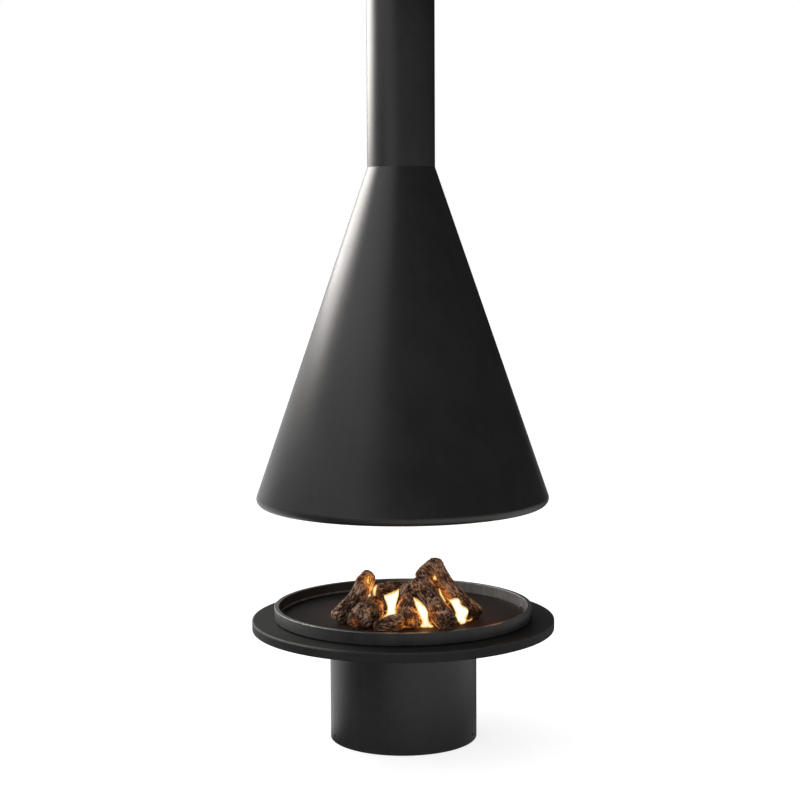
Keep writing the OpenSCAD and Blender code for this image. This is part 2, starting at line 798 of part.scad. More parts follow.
// A tube bent to a ring and fed by four spokes from a hub, with a row of ports along its top
module burner_ring() {
    spoke_r = burner_r * 0.75;
    color(steel)
    difference() {
        union() {
            rotate_extrude() translate([burner_d / 2, burner_z]) circle(burner_r, $fn = 48);
            translate([0, 0, mixer_top]) cylinder(r = hub_r, h = 2 * burner_r);
            around(4) translate([hub_r - 3, 0, burner_z]) rotate([0, 90, 0])
                cylinder(r = spoke_r, h = burner_d / 2 - hub_r + 3, $fn = 32);
        }
        rotate_extrude() translate([burner_d / 2, burner_z]) circle(burner_r - burner_wall, $fn = 48);
        translate([0, 0, mixer_top + hub_wall])
            cylinder(r = hub_r - hub_wall, h = 2 * burner_r - 2 * hub_wall);
        translate([0, 0, mixer_top - over]) cylinder(r = mixer_r - 2, h = hub_wall + 2 * over, $fn = 48);
        around(4) translate([hub_r - 6, 0, burner_z]) rotate([0, 90, 0])
            cylinder(r = spoke_r - burner_wall, h = burner_d / 2 - hub_r + 6, $fn = 32);
        around(port_count, burner_d / 2, 180 / port_count)
            translate([0, 0, burner_z + burner_r - burner_wall - 2])
                cylinder(r = port_r, h = burner_wall + 4, $fn = 16);
    }
}

module burner_feet() {
    color(steel)
    difference() {
        around(4, burner_d / 2, 45) translate([-8, -10, floor_top])
            cube([16, 20, burner_up - burner_r * 0.6]);
        rotate_extrude() translate([burner_d / 2, burner_z]) circle(burner_r + fit, $fn = 48);
    }
}

// The throat narrows to draw air in through the windows at its foot
module mixing_tube() {
    wall = 2;
    throat = mixer_r * 0.75;
    bell = mixer_r + 3;
    color(steel)
    difference() {
        rotate_extrude() polygon([
            [mixer_r - wall, mixer_top - fit], [mixer_r, mixer_top - fit],
            [throat + wall, mixer_foot + mixer_l * 0.5], [throat + wall, mixer_foot + mixer_l * 0.4],
            [bell, mixer_foot + mixer_l * 0.28], [bell, mixer_foot],
            [bell - wall, mixer_foot], [bell - wall, mixer_foot + mixer_l * 0.28],
            [throat, mixer_foot + mixer_l * 0.4], [throat, mixer_foot + mixer_l * 0.5]
        ]);
        around(4, bell - 2 * wall, 45)
            translate([0, -5, mixer_foot + 6]) cube([3 * wall, 10, mixer_l * 0.16]);
    }
}

module injector() {
    color(brass)
    translate([0, 0, injector_z]) difference() {
        union() {
            cylinder(r = injector_r, h = 6 + over, $fn = 32);
            translate([0, 0, 6]) cylinder(r = 11, h = 7, $fn = 6);
            translate([0, 0, 13]) cylinder(r1 = 7, r2 = 4, h = 9, $fn = 32);
        }
        translate([0, 0, -over]) cylinder(r = 1.2, h = 24, $fn = 16);
    }
}

// A bent strip under the bowl that lines the injector up with the mixing tube
module injector_bracket() {
    half = 32;
    strip_w = 26;
    strip_t = 3;
    z0 = injector_z + 6 - fit - strip_t;
    color(steel)
    difference() {
        union() {
            translate([-half, -strip_w / 2, z0]) cube([2 * half, strip_w, strip_t]);
            for (side = [-1, 1]) {
                translate([side * half - strip_t / 2, -strip_w / 2, z0])
                    cube([strip_t, strip_w, floor_z - z0]);
                translate([side * (half + 7) - 7, -strip_w / 2, floor_z - strip_t])
                    cube([14, strip_w, strip_t]);
            }
        }
        translate([0, 0, z0 - over]) cylinder(r = injector_r + fit, h = strip_t + 2 * over, $fn = 32);
    }
}

module ember_tray() {
    color(steel)
    difference() {
        translate([0, 0, floor_top]) cylinder(r = tray_r, h = tray_z - floor_top);
        translate([0, 0, floor_top - over])
            cylinder(r = tray_r - 3, h = tray_z - tray_t - floor_top + over);
        // Rows of vents, each as its count and its ring
        for (row = [[1, 0], [8, 50], [14, 96], [18, burner_d / 2 + 22]])
            around(row[0], row[1]) translate([0, 0, tray_z - tray_t - over])
                cylinder(r = 6, h = tray_t + 2 * over, $fn = 24);
    }
}

// A layer of loose ember chips, as one uneven slab
module ember_bed() {
    rows = 11;
    turns = 36;
    r1 = tray_r - 0.5;
    function chip(r, a) = ember_h + 1.6 * sin(r * 9 + 3 * a) * cos(5 * a - r * 4) - 2.2 * pow(r / r1, 6);
    top = [for (j = [1 : rows]) for (i = [0 : turns - 1])
        let (r = r1 * j / rows, a = 360 * i / turns)
        [r * cos(a), r * sin(a), tray_z + fit + chip(r, a)]];
    foot = [for (i = [0 : turns - 1]) [r1 * cos(360 * i / turns), r1 * sin(360 * i / turns), tray_z + fit]];
    n = rows * turns;
    color([0.35, 0.2, 0.12])
    polyhedron(
        concat(top, foot, [[0, 0, tray_z + fit + ember_h], [0, 0, tray_z + fit]]),
        concat(
            [for (i = [0 : turns - 1]) [n + turns, (i + 1) % turns, i]],
            [for (j = [0 : rows - 1]) for (i = [0 : turns - 1])
                let (a = j * turns + i, b = j * turns + (i + 1) % turns)
                each [[a, b, b + turns], [a, b + turns, a + turns]]],
            [for (i = [0 : turns - 1]) [n + turns + 1, n + i, n + (i + 1) % turns]]
        )
    );
}

module pilot_burner() {
    color(brass)
    union() {
        translate([pilot_x - 8, pilot_y - 9, floor_top]) cube([spark_x - pilot_x + 16, 18, 2]);
        translate([pilot_x, pilot_y, floor_top]) cylinder(r = 5, h = 28, $fn = 32);
        translate([pilot_x, pilot_y, floor_top + 28]) cylinder(r1 = 5, r2 = 7, h = 6, $fn = 32);
        translate([pilot_x, pilot_y, valve_top + valve_boss_h + fit])
            cylinder(r = 3, h = floor_top - valve_top - valve_boss_h, $fn = 24);
    }
}

// The lead and the tip are one piece; they pass through the pilot's plate with room to spare
module thermocouple() {
    color(brass)
    union() {
        translate([probe_x, pilot_y, valve_top + valve_boss_h + fit])
            cylinder(r = 1.5, h = floor_top - valve_top - valve_boss_h - 2 * fit, $fn = 24);
        translate([probe_x, pilot_y, floor_top + 2 + fit]) cylinder(r = 3, h = 26, $fn = 32);
        translate([probe_x, pilot_y, floor_top + 28]) sphere(r = 3, $fn = 24);
    }
}

module spark_electrode() {
    color([0.85, 0.83, 0.78])
    union() {
        translate([spark_x, pilot_y, floor_top + 2 + fit]) cylinder(r = 4, h = 20, $fn = 32);
        translate([spark_x, pilot_y, floor_top + 20]) cylinder(r = 1.25, h = 11, $fn = 24);
    }
}

// ================= gas train =================

module gas_valve() {
    color(steel)
    difference() {
        union() {
            translate([-valve_size.x / 2, valve_y - valve_size.y / 2, valve_z - valve_size.z / 2])
                cube(valve_size);
            translate([-valve_size.x / 2 - valve_boss_h, valve_y, valve_z]) rotate([0, 90, 0])
                cylinder(r = pipe_r + 6, h = valve_boss_h + over, $fn = 48);
            // Outlets to the burner, the pilot and the thermocouple
            for (boss = [[0, outlet_y, pipe_r + 4], [pilot_x, pilot_y, 6], [probe_x, pilot_y, 5]])
                translate([boss[0], boss[1], valve_top - over])
                    cylinder(r = boss[2], h = valve_boss_h + over, $fn = 32);
        }
        translate([0, valve_front - valve_bore, valve_z]) rotate([-90, 0, 0])
            cylinder(r = knob_shaft_r + run_fit, h = valve_bore + over, $fn = 32);
    }
}

module control_knob() {
    color(charcoal)
    translate([0, 0, valve_z]) rotate([-90, 0, 0]) union() {
        translate([0, 0, valve_front - valve_bore + 2])
            cylinder(r = knob_shaft_r, h = knob_y - valve_front + valve_bore, $fn = 32);
        translate([0, 0, knob_y]) cylinder(r1 = knob_r, r2 = knob_r - 2, h = knob_h, $fn = 48);
        translate([-3, -knob_r + 3, knob_y + knob_h - 1]) cube([6, 2 * knob_r - 6, 6]);
    }
}

// A folded plate on two legs carries the valve and the igniter, and is fixed to the foot plate
module control_panel() {
    x0 = -valve_size.x / 2 - 8;
    x1 = spark_box.x + 25;
    leg_w = 30;
    foot_l = 26;
    color(steel)
    difference() {
        union() {
            translate([x0, panel_y, valve_z - panel_down]) cube([x1 - x0, panel_t, panel_down + panel_up]);
            for (x = [x0, x1 - leg_w]) {
                translate([x, panel_y, foot_t])
                    cube([leg_w, panel_t, valve_z - panel_down - foot_t + over]);
                translate([x, panel_y - foot_l + panel_t, foot_t]) cube([leg_w, foot_l, panel_t]);
            }
        }
        translate([0, panel_y - over, valve_z]) rotate([-90, 0, 0])
            cylinder(r = knob_shaft_r + 2, h = panel_t + 2 * over, $fn = 32);
        translate([spark_box.x, panel_y - over, spark_box.y]) rotate([-90, 0, 0])
            cylinder(r = igniter_r + fit, h = panel_t + 2 * over, $fn = 48);
    }
}

module igniter_body() {
    color(charcoal)
    translate([spark_box.x, panel_y, spark_box.y]) rotate([-90, 0, 0]) difference() {
        union() {
            translate([0, 0, -igniter_back])
                cylinder(r = igniter_r, h = igniter_back + panel_t + igniter_nose, $fn = 48);
            translate([0, 0, panel_t + fit]) cylinder(r = igniter_r + 4, h = 3, $fn = 48);
            translate([0, 0, -igniter_back - 4]) cylinder(r = 3, h = 5, $fn = 24);
        }
        translate([0, 0, -button_deep])
            cylinder(r = button_r + run_fit, h = button_deep + panel_t + igniter_nose + over, $fn = 48);
    }
}

module igniter_button() {
    color([0.75, 0.1, 0.08])
    translate([spark_box.x, panel_y, spark_box.y]) rotate([-90, 0, 0])
        translate([0, 0, button_travel + 1 - button_deep])
            cylinder(r = button_r, h = button_deep + panel_t + igniter_nose + 3, $fn = 48);
}

module igniter_lead() {
    bend = lead_back - [0, 4, 0];
    rise = lead_top - [0, 0, 22];
    points = concat(
        [lead_back, bend],
        [for (t = [0.25 : 0.25 : 1]) along([bend, bend + [2, -14, 12], lead_rise], t)],
        [for (t = [0.2 : 0.2 : 1]) along([lead_rise, (lead_back + lead_top) / 2 + [10, -12, 26], rise], t)],
        [lead_top - [0, 0, 12], lead_top]
    );
    color([0.6, 0.15, 0.1])
    swept_tube(points, lead_r, 8);
}

module stop_valve() {
    color(brass)
    translate([inlet_p.x, inlet_p.y, stop_z]) difference() {
        union() {
            sphere(r = 19);
            translate([0, 0, -25]) cylinder(r = 14, h = 50);
            for (z = [-stop_half, stop_half - 12]) translate([0, 0, z]) cylinder(r = 17, h = 12, $fn = 6);
            rotate([-90, 0, 0]) cylinder(r = 8, h = 23, $fn = 32);
            rotate([-90, 0, 0]) cylinder(r = lever_shaft_r, h = 30, $fn = 32);
        }
        translate([0, 0, -stop_half - over]) cylinder(r = 6.5, h = 2 * stop_half + 2 * over, $fn = 32);
    }
}

// The lever stands up along the pipe when the gas is on
module stop_lever() {
    y0 = inlet_p.y + 23 + fit;
    color([0.75, 0.1, 0.08])
    translate([inlet_p.x, y0, stop_z]) difference() {
        union() {
            rotate([-90, 0, 0]) cylinder(r = 10, h = 4, $fn = 48);
            translate([-6, 0, 0]) cube([12, 4, lever_l - 6]);
            translate([0, 0, lever_l - 6]) rotate([-90, 0, 0]) cylinder(r = 6, h = 4, $fn = 32);
        }
        translate([0, -over, 0]) rotate([-90, 0, 0])
            cylinder(r = lever_shaft_r + run_fit, h = 4 + 2 * over, $fn = 32);
    }
}

module inlet_nipple() {
    color(steel)
    translate([inlet_p.x, inlet_p.y, 0]) difference() {
        union() {
            translate([0, 0, inlet_z])
                cylinder(r = inlet_r + 2, h = stop_z - stop_half - inlet_z - fit, $fn = 48);
            translate([0, 0, foot_t + fit]) cylinder(r = inlet_hole_r + 5, h = 3, $fn = 48);
        }
        cylinder(r = inlet_r, h = stop_z, $fn = 32);
    }
}

module supply_pipe() {
    z0 = stop_z + stop_half + fit;
    z1 = valve_z - bend_r;
    color(brass)
    translate([inlet_p.x, inlet_p.y, 0]) union() {
        translate([0, 0, z0]) cylinder(r = pipe_r, h = z1 - z0, $fn = 32);
        translate([0, 0, z1]) quarter_bend(pipe_r, bend_r);
        translate([bend_r, 0, valve_z]) rotate([0, 90, 0])
            cylinder(r = pipe_r, h = stop_x - bend_r - valve_size.x / 2 - valve_boss_h - fit, $fn = 32);
    }
}

module burner_pipe() {
    y0 = outlet_y;
    z0 = valve_top + valve_boss_h + fit;
    z2 = injector_z - fit;
    z1 = z2 - bend_r;
    color(brass)
    union() {
        translate([0, y0, z0]) cylinder(r = pipe_r, h = z1 - bend_r - z0, $fn = 32);
        translate([0, y0, z1 - bend_r]) rotate([0, 0, -90]) quarter_bend(pipe_r, bend_r);
        translate([0, y0 - bend_r, z1]) rotate([90, 0, 0])
            cylinder(r = pipe_r, h = y0 - 2 * bend_r, $fn = 32);
        translate([0, 0, z2]) rotate([0, 180, 0]) rotate([0, 0, 90]) quarter_bend(pipe_r, bend_r);
    }
}

// ================= log set =================

// A log's skin: rings of uneven radius along its bowed axis, closed by domed ends
module log_form(log, grow = 0) {
    axis = log[0];
    radii = log[1];
    turn = log[2];
    stations = concat(
        [for (a = dome_turns) [0, -sin(a), cos(a)]],
        [for (i = [0 : log_steps]) [i / log_steps, 0, 1]],
        [for (i = [2 : -1 : 0]) [1, sin(dome_turns[i]), cos(dome_turns[i])]]
    );
    function ridge(a, t) = 1 + bark * (sin(3 * a + 150 * t + turn) + 0.7 * sin(7 * a - 240 * t + 2 * turn)
        + 0.5 * sin(11 * a + 420 * t + 3 * turn));
    rings = [for (s = stations)
        let (d = unit(along(axis, min(s[0] + 0.01, 1.01)) - along(axis, s[0] - 0.01)))
        let (u = across(d))
        let (v = cross(d, u))
        let (r = along(radii, s[0]))
        let (c = along(axis, s[0]) + d * s[1] * (r * log_dome + grow))
        each [for (k = [0 : log_sides - 1])
            let (a = 360 * k / log_sides)
            c + (r * s[2] * ridge(a, s[0]) + grow) * (cos(a) * u + sin(a) * v)]];
    translate([0, 0, deck_z]) polyhedron(rings, skin_faces(len(stations), log_sides));
}

// A log is cut flat where it stands on the deck, and hollowed where it rests on the logs under it
module seated_log(log, under = []) {
    color(bark_brown)
    resize([0, 0, 0]) difference() {
        log_form(log);
        translate([-deck_r, -deck_r, floor_z]) cube([2 * deck_r, 2 * deck_r, deck_z + fit - floor_z]);
        for (other = under) log_form(other, log_seat);
    }
}

module rear_log() { seated_log(log_rear); }
module left_log() { seated_log(log_left, [log_rear]); }
module front_log() { seated_log(log_front, [log_left]); }
module middle_log() { seated_log(log_middle, [log_rear, log_front]); }
module right_log() { seated_log(log_right, [log_rear]); }
module left_leaning_log() { seated_log(log_lean_left, [log_left, log_rear]); }
module long_leaning_log() { seated_log(log_lean_long, [log_right, log_middle, log_rear]); }
module right_leaning_log() { seated_log(log_lean_right, [log_right, log_lean_long, log_rear]); }

hood_cone();
inner_hood();
hood_spacers();
neck_flange();
hanger_rods();
hanger_nuts();
flue_tube();
flue_liner();
ceiling_plate();
ceiling_cover();
cover_screws();
hearth_disc();
disc_underplate();
disc_ribs();
underplate_screws();
fender_ring();
deck_plate();
deck_clips();
log_grate();
pedestal_shell();
foot_plate();
support_frame();
shell_screws();
access_door();
hinge_pins();
door_latch();
burner_bowl();
burner_ring();
burner_feet();
mixing_tube();
injector();
injector_bracket();
ember_tray();
ember_bed();
pilot_burner();
thermocouple();
spark_electrode();
gas_valve();
control_knob();
control_panel();
igniter_body();
igniter_button();
igniter_lead();
stop_valve();
stop_lever();
inlet_nipple();
supply_pipe();
burner_pipe();
rear_log();
left_log();
front_log();
middle_log();
right_log();
left_leaning_log();
long_leaning_log();
right_leaning_log();
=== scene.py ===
import math
import random

import bpy
from mathutils import Matrix, Vector
from mathutils.kdtree import KDTree


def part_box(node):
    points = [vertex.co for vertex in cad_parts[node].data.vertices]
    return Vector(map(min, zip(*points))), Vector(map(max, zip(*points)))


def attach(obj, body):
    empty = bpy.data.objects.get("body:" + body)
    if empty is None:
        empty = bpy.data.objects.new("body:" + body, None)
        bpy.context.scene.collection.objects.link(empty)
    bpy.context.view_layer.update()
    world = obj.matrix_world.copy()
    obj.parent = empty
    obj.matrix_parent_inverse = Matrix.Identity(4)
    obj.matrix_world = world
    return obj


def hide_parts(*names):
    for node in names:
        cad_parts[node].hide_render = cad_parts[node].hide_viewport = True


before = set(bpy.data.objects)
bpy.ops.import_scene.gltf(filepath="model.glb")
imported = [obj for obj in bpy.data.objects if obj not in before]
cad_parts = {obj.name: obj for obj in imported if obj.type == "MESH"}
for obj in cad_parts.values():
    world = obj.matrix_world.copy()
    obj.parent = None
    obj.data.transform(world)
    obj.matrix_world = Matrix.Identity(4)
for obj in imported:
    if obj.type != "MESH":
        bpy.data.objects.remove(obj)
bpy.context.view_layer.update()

# ---------------------------------------------------------------------------
# The camera stands about 5.7 m in front of the fire at head height and looks a little
# down on it, with a long lens and the slight lean that the photograph has.
# ---------------------------------------------------------------------------

EYE = (0, -5.7121, 1.689)
TILT = math.radians(84.3394)
LEAN = math.radians(-0.2686)

camera = bpy.data.objects.new("camera", bpy.data.cameras.new("camera"))
bpy.context.collection.objects.link(camera)
camera.data.sensor_width = 36
camera.data.lens = 78.777
camera.data.shift_x = -0.00273
camera.matrix_world = (
    Matrix.Translation(EYE) @ Matrix.Rotation(TILT, 4, "X") @ Matrix.Rotation(LEAN, 4, "Z")
)
bpy.context.scene.camera = camera
bpy.context.scene.view_settings.view_transform = "Standard"

# ---------------------------------------------------------------------------
# The studio: white air, and a white floor that keeps the fire's shadow. A window panel
# stands high on the left and behind, and a small one beside the tube; weak ones in front
# and overhead fill the shade, and the right side of the room is dim.
# ---------------------------------------------------------------------------


class Socket:
    """A socket of a node tree, on which arithmetic adds Math nodes."""

    # The sockets of a Mix node that mixes colours
    FACTOR, FIRST, SECOND, MIXED = 0, 6, 7, 2

    def __init__(self, tree, out=None):
        self.tree = tree
        self.out = out

    def node(self, kind, inputs=None, output=0, stops=None, **settings):
        """Adds a node: its settings first, then the values or links of its sockets."""
        new = self.tree.nodes.new("ShaderNode" + kind)
        for name, value in settings.items():
            setattr(new, name, value)
        for i, (place, colour) in enumerate(stops or ()):
            ramp = new.color_ramp.elements
            stop = ramp[i] if i < len(ramp) else ramp.new(place)
            stop.position = place
            stop.color = (*colour, 1)
        for key, value in (inputs or {}).items():
            if isinstance(value, Socket):
                self.tree.links.new(value.out, new.inputs[key])
            else:
                new.inputs[key].default_value = value
        return Socket(self.tree, new.outputs[output])

    def maths(self, operation, *values):
        return self.node("Math", dict(enumerate(values)), operation=operation)

    def __add__(self, other):
        return self.maths("ADD", self, other)

    def __radd__(self, other):
        return self.maths("ADD", other, self)

    def __sub__(self, other):
        return self.maths("SUBTRACT", self, other)

    def __rsub__(self, other):
        return self.maths("SUBTRACT", other, self)

    def __mul__(self, other):
        return self.maths("MULTIPLY", self, other)

    def __rmul__(self, other):
        return self.maths("MULTIPLY", other, self)

    def fade(self, low, high, start=0.0, end=1.0):
        """Goes smoothly from start to end as this value goes from low to high."""
        ends = {"Value": self, "From Min": low, "From Max": high, "To Min": start, "To Max": end}
        return self.node("MapRange", ends, interpolation_type="SMOOTHSTEP")

    def blend(self, a, b):
        """A colour from a to b as this value goes from 0 to 1."""
        a, b = ((*end, 1) if isinstance(end, tuple) else end for end in (a, b))
        colours = {self.FACTOR: self, self.FIRST: a, self.SECOND: b}
        return self.node("Mix", colours, self.MIXED, data_type="RGBA")


def where(draw):
    """The point that is drawn, in metres, from the middle of the fire at the floor."""
    return draw.node("TexCoord", output="Object")


def along(draw, way, place=None):
    """How far a place lies in a direction."""
    ends = {0: place or where(draw), 1: way}
    return draw.node("VectorMath", ends, "Value", operation="DOT_PRODUCT")


def seen_directly(draw):
    """Whether the camera sees a point itself, or through glass."""
    straight = draw.node("LightPath", output="Is Camera Ray")
    return draw.maths("MAXIMUM", straight, draw.node("LightPath", output="Is Transmission Ray"))


# Where the room's light comes from: two bright sides that the coats mirror, and the rest
BRIGHT_SIDE = (-0.93, 0.35, 0)
WINDOW_SIDE = (-0.42, 0.9, 0)
FILL_SIDE = (-0.9, -0.2, 0)
# What of the floor the coats mirror as lit and as half lit, seen from the fire
FLOOR_LIT = (-0.6, 0.8, 0)
FLOOR_DIM = (0.8, -0.6, 0)
WHITE = (1, 1, 1, 1)

world = bpy.data.worlds.new("white_air")
bpy.context.scene.world = world
world.use_nodes = True
air = Socket(world.node_tree)
way = air.node("TexCoord", output="Generated")
rise = air.node("SeparateXYZ", {0: way}, "Z").fade(0.05, 0.5, 0.55, 1.3)
bright = along(air, BRIGHT_SIDE, way).fade(0.05, 0.95, 0.045, 0.5) * rise
window = along(air, WINDOW_SIDE, way).fade(0.80, 0.99) * 0.55
fill = along(air, FILL_SIDE, way).fade(-1.0, 1.0, 0.35, 1.0)
mirrored = air.node("LightPath", output="Is Glossy Ray")
room = (bright + window) * mirrored + fill * (1 - mirrored)
seen = seen_directly(air)
sky = world.node_tree.nodes["Background"]
sky.inputs["Color"].default_value = WHITE
world.node_tree.links.new((seen + (1 - seen) * room).out, sky.inputs["Strength"])

bpy.ops.object.select_all(action="DESELECT")
bpy.ops.mesh.primitive_plane_add(size=80, location=(0, 0, -0.001))
floor = bpy.context.active_object
floor.name = "floor"
pale = bpy.data.materials.new("white_floor")
pale.use_nodes = True
pale.node_tree.nodes.clear()
ground = Socket(pale.node_tree)
side = ground.node("VectorMath", {0: where(ground)}, operation="NORMALIZE")
away = ground.node("VectorMath", {0: where(ground)}, "Value", operation="LENGTH")
lit = along(ground, FLOOR_LIT, side).fade(0.3, 0.98, 0.06, 1.1)
dim = along(ground, FLOOR_DIM, side).fade(-0.2, 0.9, 0.0, 0.6) * away.fade(0.45, 1.3, 0.30, 1.5)
matt = ground.node("BsdfDiffuse", {"Color": (0.6, 0.6, 0.6, 1)})
mirror = ground.node("Emission", {"Color": WHITE, "Strength": lit + dim})
mirrored = ground.node("LightPath", output="Is Glossy Ray")
matt = ground.node("MixShader", {0: mirrored, 1: matt, 2: mirror})
soft = ground.node("BsdfDiffuse", {"Color": (0.42, 0.42, 0.42, 1)})
lift = ground.node("Emission", {"Color": WHITE, "Strength": 0.80})
soft = ground.node("AddShader", {0: soft, 1: lift})
whole = ground.node("MixShader", {0: seen_directly(ground), 1: matt, 2: soft})
end = pale.node_tree.nodes.new("ShaderNodeOutputMaterial")
pale.node_tree.links.new(whole.out, end.inputs["Surface"])
floor.data.materials.append(pale)


def panel(name, place, target, size, watts, colour):
    lamp = bpy.data.lights.new(name, "AREA")
    lamp.shape = "RECTANGLE"
    lamp.size, lamp.size_y = size
    lamp.energy = watts
    lamp.color = colour
    stand = bpy.data.objects.new(name, lamp)
    bpy.context.collection.objects.link(stand)
    stand.location = place
    stand.rotation_euler = (Vector(target) - Vector(place)).to_track_quat("-Z", "Y").to_euler()


panel("window_panel", place=(-2.6, 2.5, 3.0), target=(-0.6, 2.3, 2.9), size=(3.4, 1.8),
      watts=150, colour=(1.0, 0.96, 0.92))
panel("tube_panel", place=(-1.9, 0.75, 2.65), target=(0, 0, 2.3), size=(1.3, 0.5),
      watts=8, colour=(1.0, 0.97, 0.94))
panel("front_panel", place=(-2.4, -3.8, 1.5), target=(0, 0, 0.5), size=(3.2, 1.8),
      watts=15, colour=(1, 0.99, 0.97))
panel("ceiling_panel", place=(-1.9, -1.6, 3.3), target=(0, 0, 1.5), size=(2.6, 1.8),
      watts=14, colour=(1, 0.99, 0.97))

# ---------------------------------------------------------------------------
# The hood, the flue tube and the ceiling cover are rolled and spun from sheet steel and
# sprayed with a heat-proof charcoal coat, fine-grained and satin, that clouds a little.
# ---------------------------------------------------------------------------


def finish(name, **fixed):
    """A new material: its Principled shader's constants, and a socket to draw with."""
    made = bpy.data.materials.new(name)
    made.use_nodes = True
    shader = made.node_tree.nodes["Principled BSDF"]
    for key, value in fixed.items():
        key = key.replace("_", " ").title().replace("Ior", "IOR")
        shader.inputs[key].default_value = (*value, 1) if isinstance(value, tuple) else value
    return made, Socket(made.node_tree)


def wear(draw, **links):
    """Feeds the named sockets of the shader that the drawing belongs to."""
    shader = draw.tree.nodes["Principled BSDF"]
    for key, value in links.items():
        draw.tree.links.new(value.out, shader.inputs[key.replace("_", " ").title()])


def grain(draw, scale, detail=3.0, rough=0.5, place=None):
    """A noise about 0.5, with so many waves to a metre."""
    inputs = {"Vector": place or where(draw), "Scale": scale, "Detail": detail, "Roughness": rough}
    return draw.node("TexNoise", inputs)


def relief(draw, height, depth):
    """A bump as deep as depth, in metres, where the height is 1."""
    return draw.node("Bump", {"Height": height, "Strength": 1.0, "Distance": depth})


def scaled(draw, factors, place=None):
    """A place with each of its coordinates multiplied."""
    return draw.node("VectorMath", {0: place or where(draw), 1: factors}, operation="MULTIPLY")


def stretched(draw, sideways, upward):
    """Object coordinates squeezed onto a unit drum, for marks that run up the walls."""
    turn = draw.node("VectorMath", {0: scaled(draw, (1, 1, 0))}, operation="NORMALIZE")
    turn = draw.node("VectorMath", {0: turn, "Scale": sideways}, operation="SCALE")
    return draw.node("VectorMath", {0: turn, 1: scaled(draw, (0, 0, upward))})


def dress(made, *names):
    for name in names:
        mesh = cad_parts[name].data
        mesh.materials.clear()
        mesh.materials.append(made)


PIGMENT = (0.13, 0.13, 0.135)
ORANGE_PEEL = 0.00006


def charcoal(name, dark, pale, rough, streak=0.0, gloss=0.5):
    """The coat: two close greys that cloud into each other, pigment specks and orange peel."""
    made, draw = finish(name, specular_ior_level=gloss)
    cloud = grain(draw, 5.5, 5, 0.6)
    fine = grain(draw, 38, 4, 0.6)
    run = grain(draw, 1.0, 3, 0.5, stretched(draw, 26, 1.6))
    shade = (cloud * 0.55 + fine * 0.25 + run * 0.2).fade(0.34, 0.66)
    speck = grain(draw, 2600, 1, 0.4).fade(0.66, 0.74)
    peel = grain(draw, 640, 2, 0.55) + grain(draw, 90, 2) * 0.7
    wear(
        draw,
        base_color=(speck * 0.35).blend(shade.blend(dark, pale), PIGMENT),
        roughness=rough + (cloud - 0.5) * 0.12 + (fine - 0.5) * 0.06 + (run - 0.5) * streak,
        normal=relief(draw, peel, ORANGE_PEEL),
    )
    return made, draw


hood_coat, _ = charcoal(
    "hood_coat", dark=(0.012, 0.012, 0.0124), pale=(0.0175, 0.0175, 0.018), rough=0.35)
dress(hood_coat, "hood_cone", "flue_tube", "ceiling_cover")

# ---------------------------------------------------------------------------
# The inner hood, flue liner, neck flange and ceiling plate are bare sheet steel, with the
# roll's brushed lines and a brown heat tint that turns to soot towards the flue.
# ---------------------------------------------------------------------------


def height_of(draw):
    return draw.node("SeparateXYZ", {0: where(draw)}, "Z")


BRUSHED_DARK, BRUSHED_PALE = (0.40, 0.37, 0.33), (0.52, 0.5, 0.47)
SOOT = (0.035, 0.03, 0.027)
# The height at which the soot begins, and at which it is thick
SOOT_RISE = (1.0, 1.75)

sheet_steel, draw = finish("bare_sheet")
lines = grain(draw, 1.0, 3, 0.5, stretched(draw, 9, 260))
cloud = grain(draw, 7, 5, 0.6)
soot_and_shade = (height_of(draw) + (cloud - 0.5) * 0.35).fade(*SOOT_RISE)
tint = (cloud * 0.6 + lines * 0.4).fade(0.35, 0.7).blend(BRUSHED_DARK, BRUSHED_PALE)
wear(
    draw,
    base_color=(soot_and_shade * 0.85).blend(tint, SOOT),
    roughness=0.34 + (lines - 0.5) * 0.2 + soot_and_shade * 0.4,
    metallic=1 - soot_and_shade * 0.75,
    normal=relief(draw, lines + grain(draw, 24, 2) * 2, 0.00006),
)
dress(sheet_steel, "inner_hood", "hood_spacers", "neck_flange", "flue_liner", "ceiling_plate")

# ---------------------------------------------------------------------------
# The hanger rods, nuts, cover and plate screws, ribs, clips, frame, pins, latch and inlet
# are zinc-plated steel, with the soft spangle and the dulled, whitish bloom of plating.
# ---------------------------------------------------------------------------

ZINC_DULL, ZINC_BRIGHT = (0.40, 0.41, 0.43), (0.62, 0.63, 0.64)

zinc, draw = finish("zinc_steel", metallic=1.0)
flake = draw.node("TexVoronoi", {"Vector": where(draw), "Scale": 160.0}, "Color")
flake = draw.node("SeparateColor", {0: flake}, "Red")
bloom = grain(draw, 30, 5, 0.65)
scuff = grain(draw, 900, 2, 0.6)
wear(
    draw,
    base_color=(flake * 0.45 + bloom * 0.55).fade(0.25, 0.8).blend(ZINC_DULL, ZINC_BRIGHT),
    roughness=0.3 + flake * 0.12 + bloom * 0.16,
    normal=relief(draw, flake * 0.6 + scuff * 0.4, 0.00005),
)
dress(zinc, "hanger_rods", "hanger_nuts", "cover_screws", "disc_ribs", "underplate_screws",
      "deck_clips", "support_frame", "hinge_pins", "door_latch", "inlet_nipple")

# ---------------------------------------------------------------------------
# The hearth disc is a pressed steel dish with a rounded edge, sprayed charcoal. A painted
# highlight lightens its edge, mostly on the left, and a plate closes it from below.
# ---------------------------------------------------------------------------


def radius_of(draw):
    return draw.node("VectorMath", {0: scaled(draw, (1, 1, 0))}, "Value", operation="LENGTH")


def upper_edge(draw, radius, height):
    """1 on the edge beyond a radius and above a height, each from none to all of it."""
    return radius_of(draw).fade(*radius) * height_of(draw).fade(*height)


# The lit side, towards which the disc's and the ring's edges carry a painted highlight
HIGHLIGHT_SIDE = (-1, -0.2, 0)
# The grey of the disc edge's painted highlight
EDGE_HIGHLIGHT_GREY = (0.13, 0.13, 0.13)

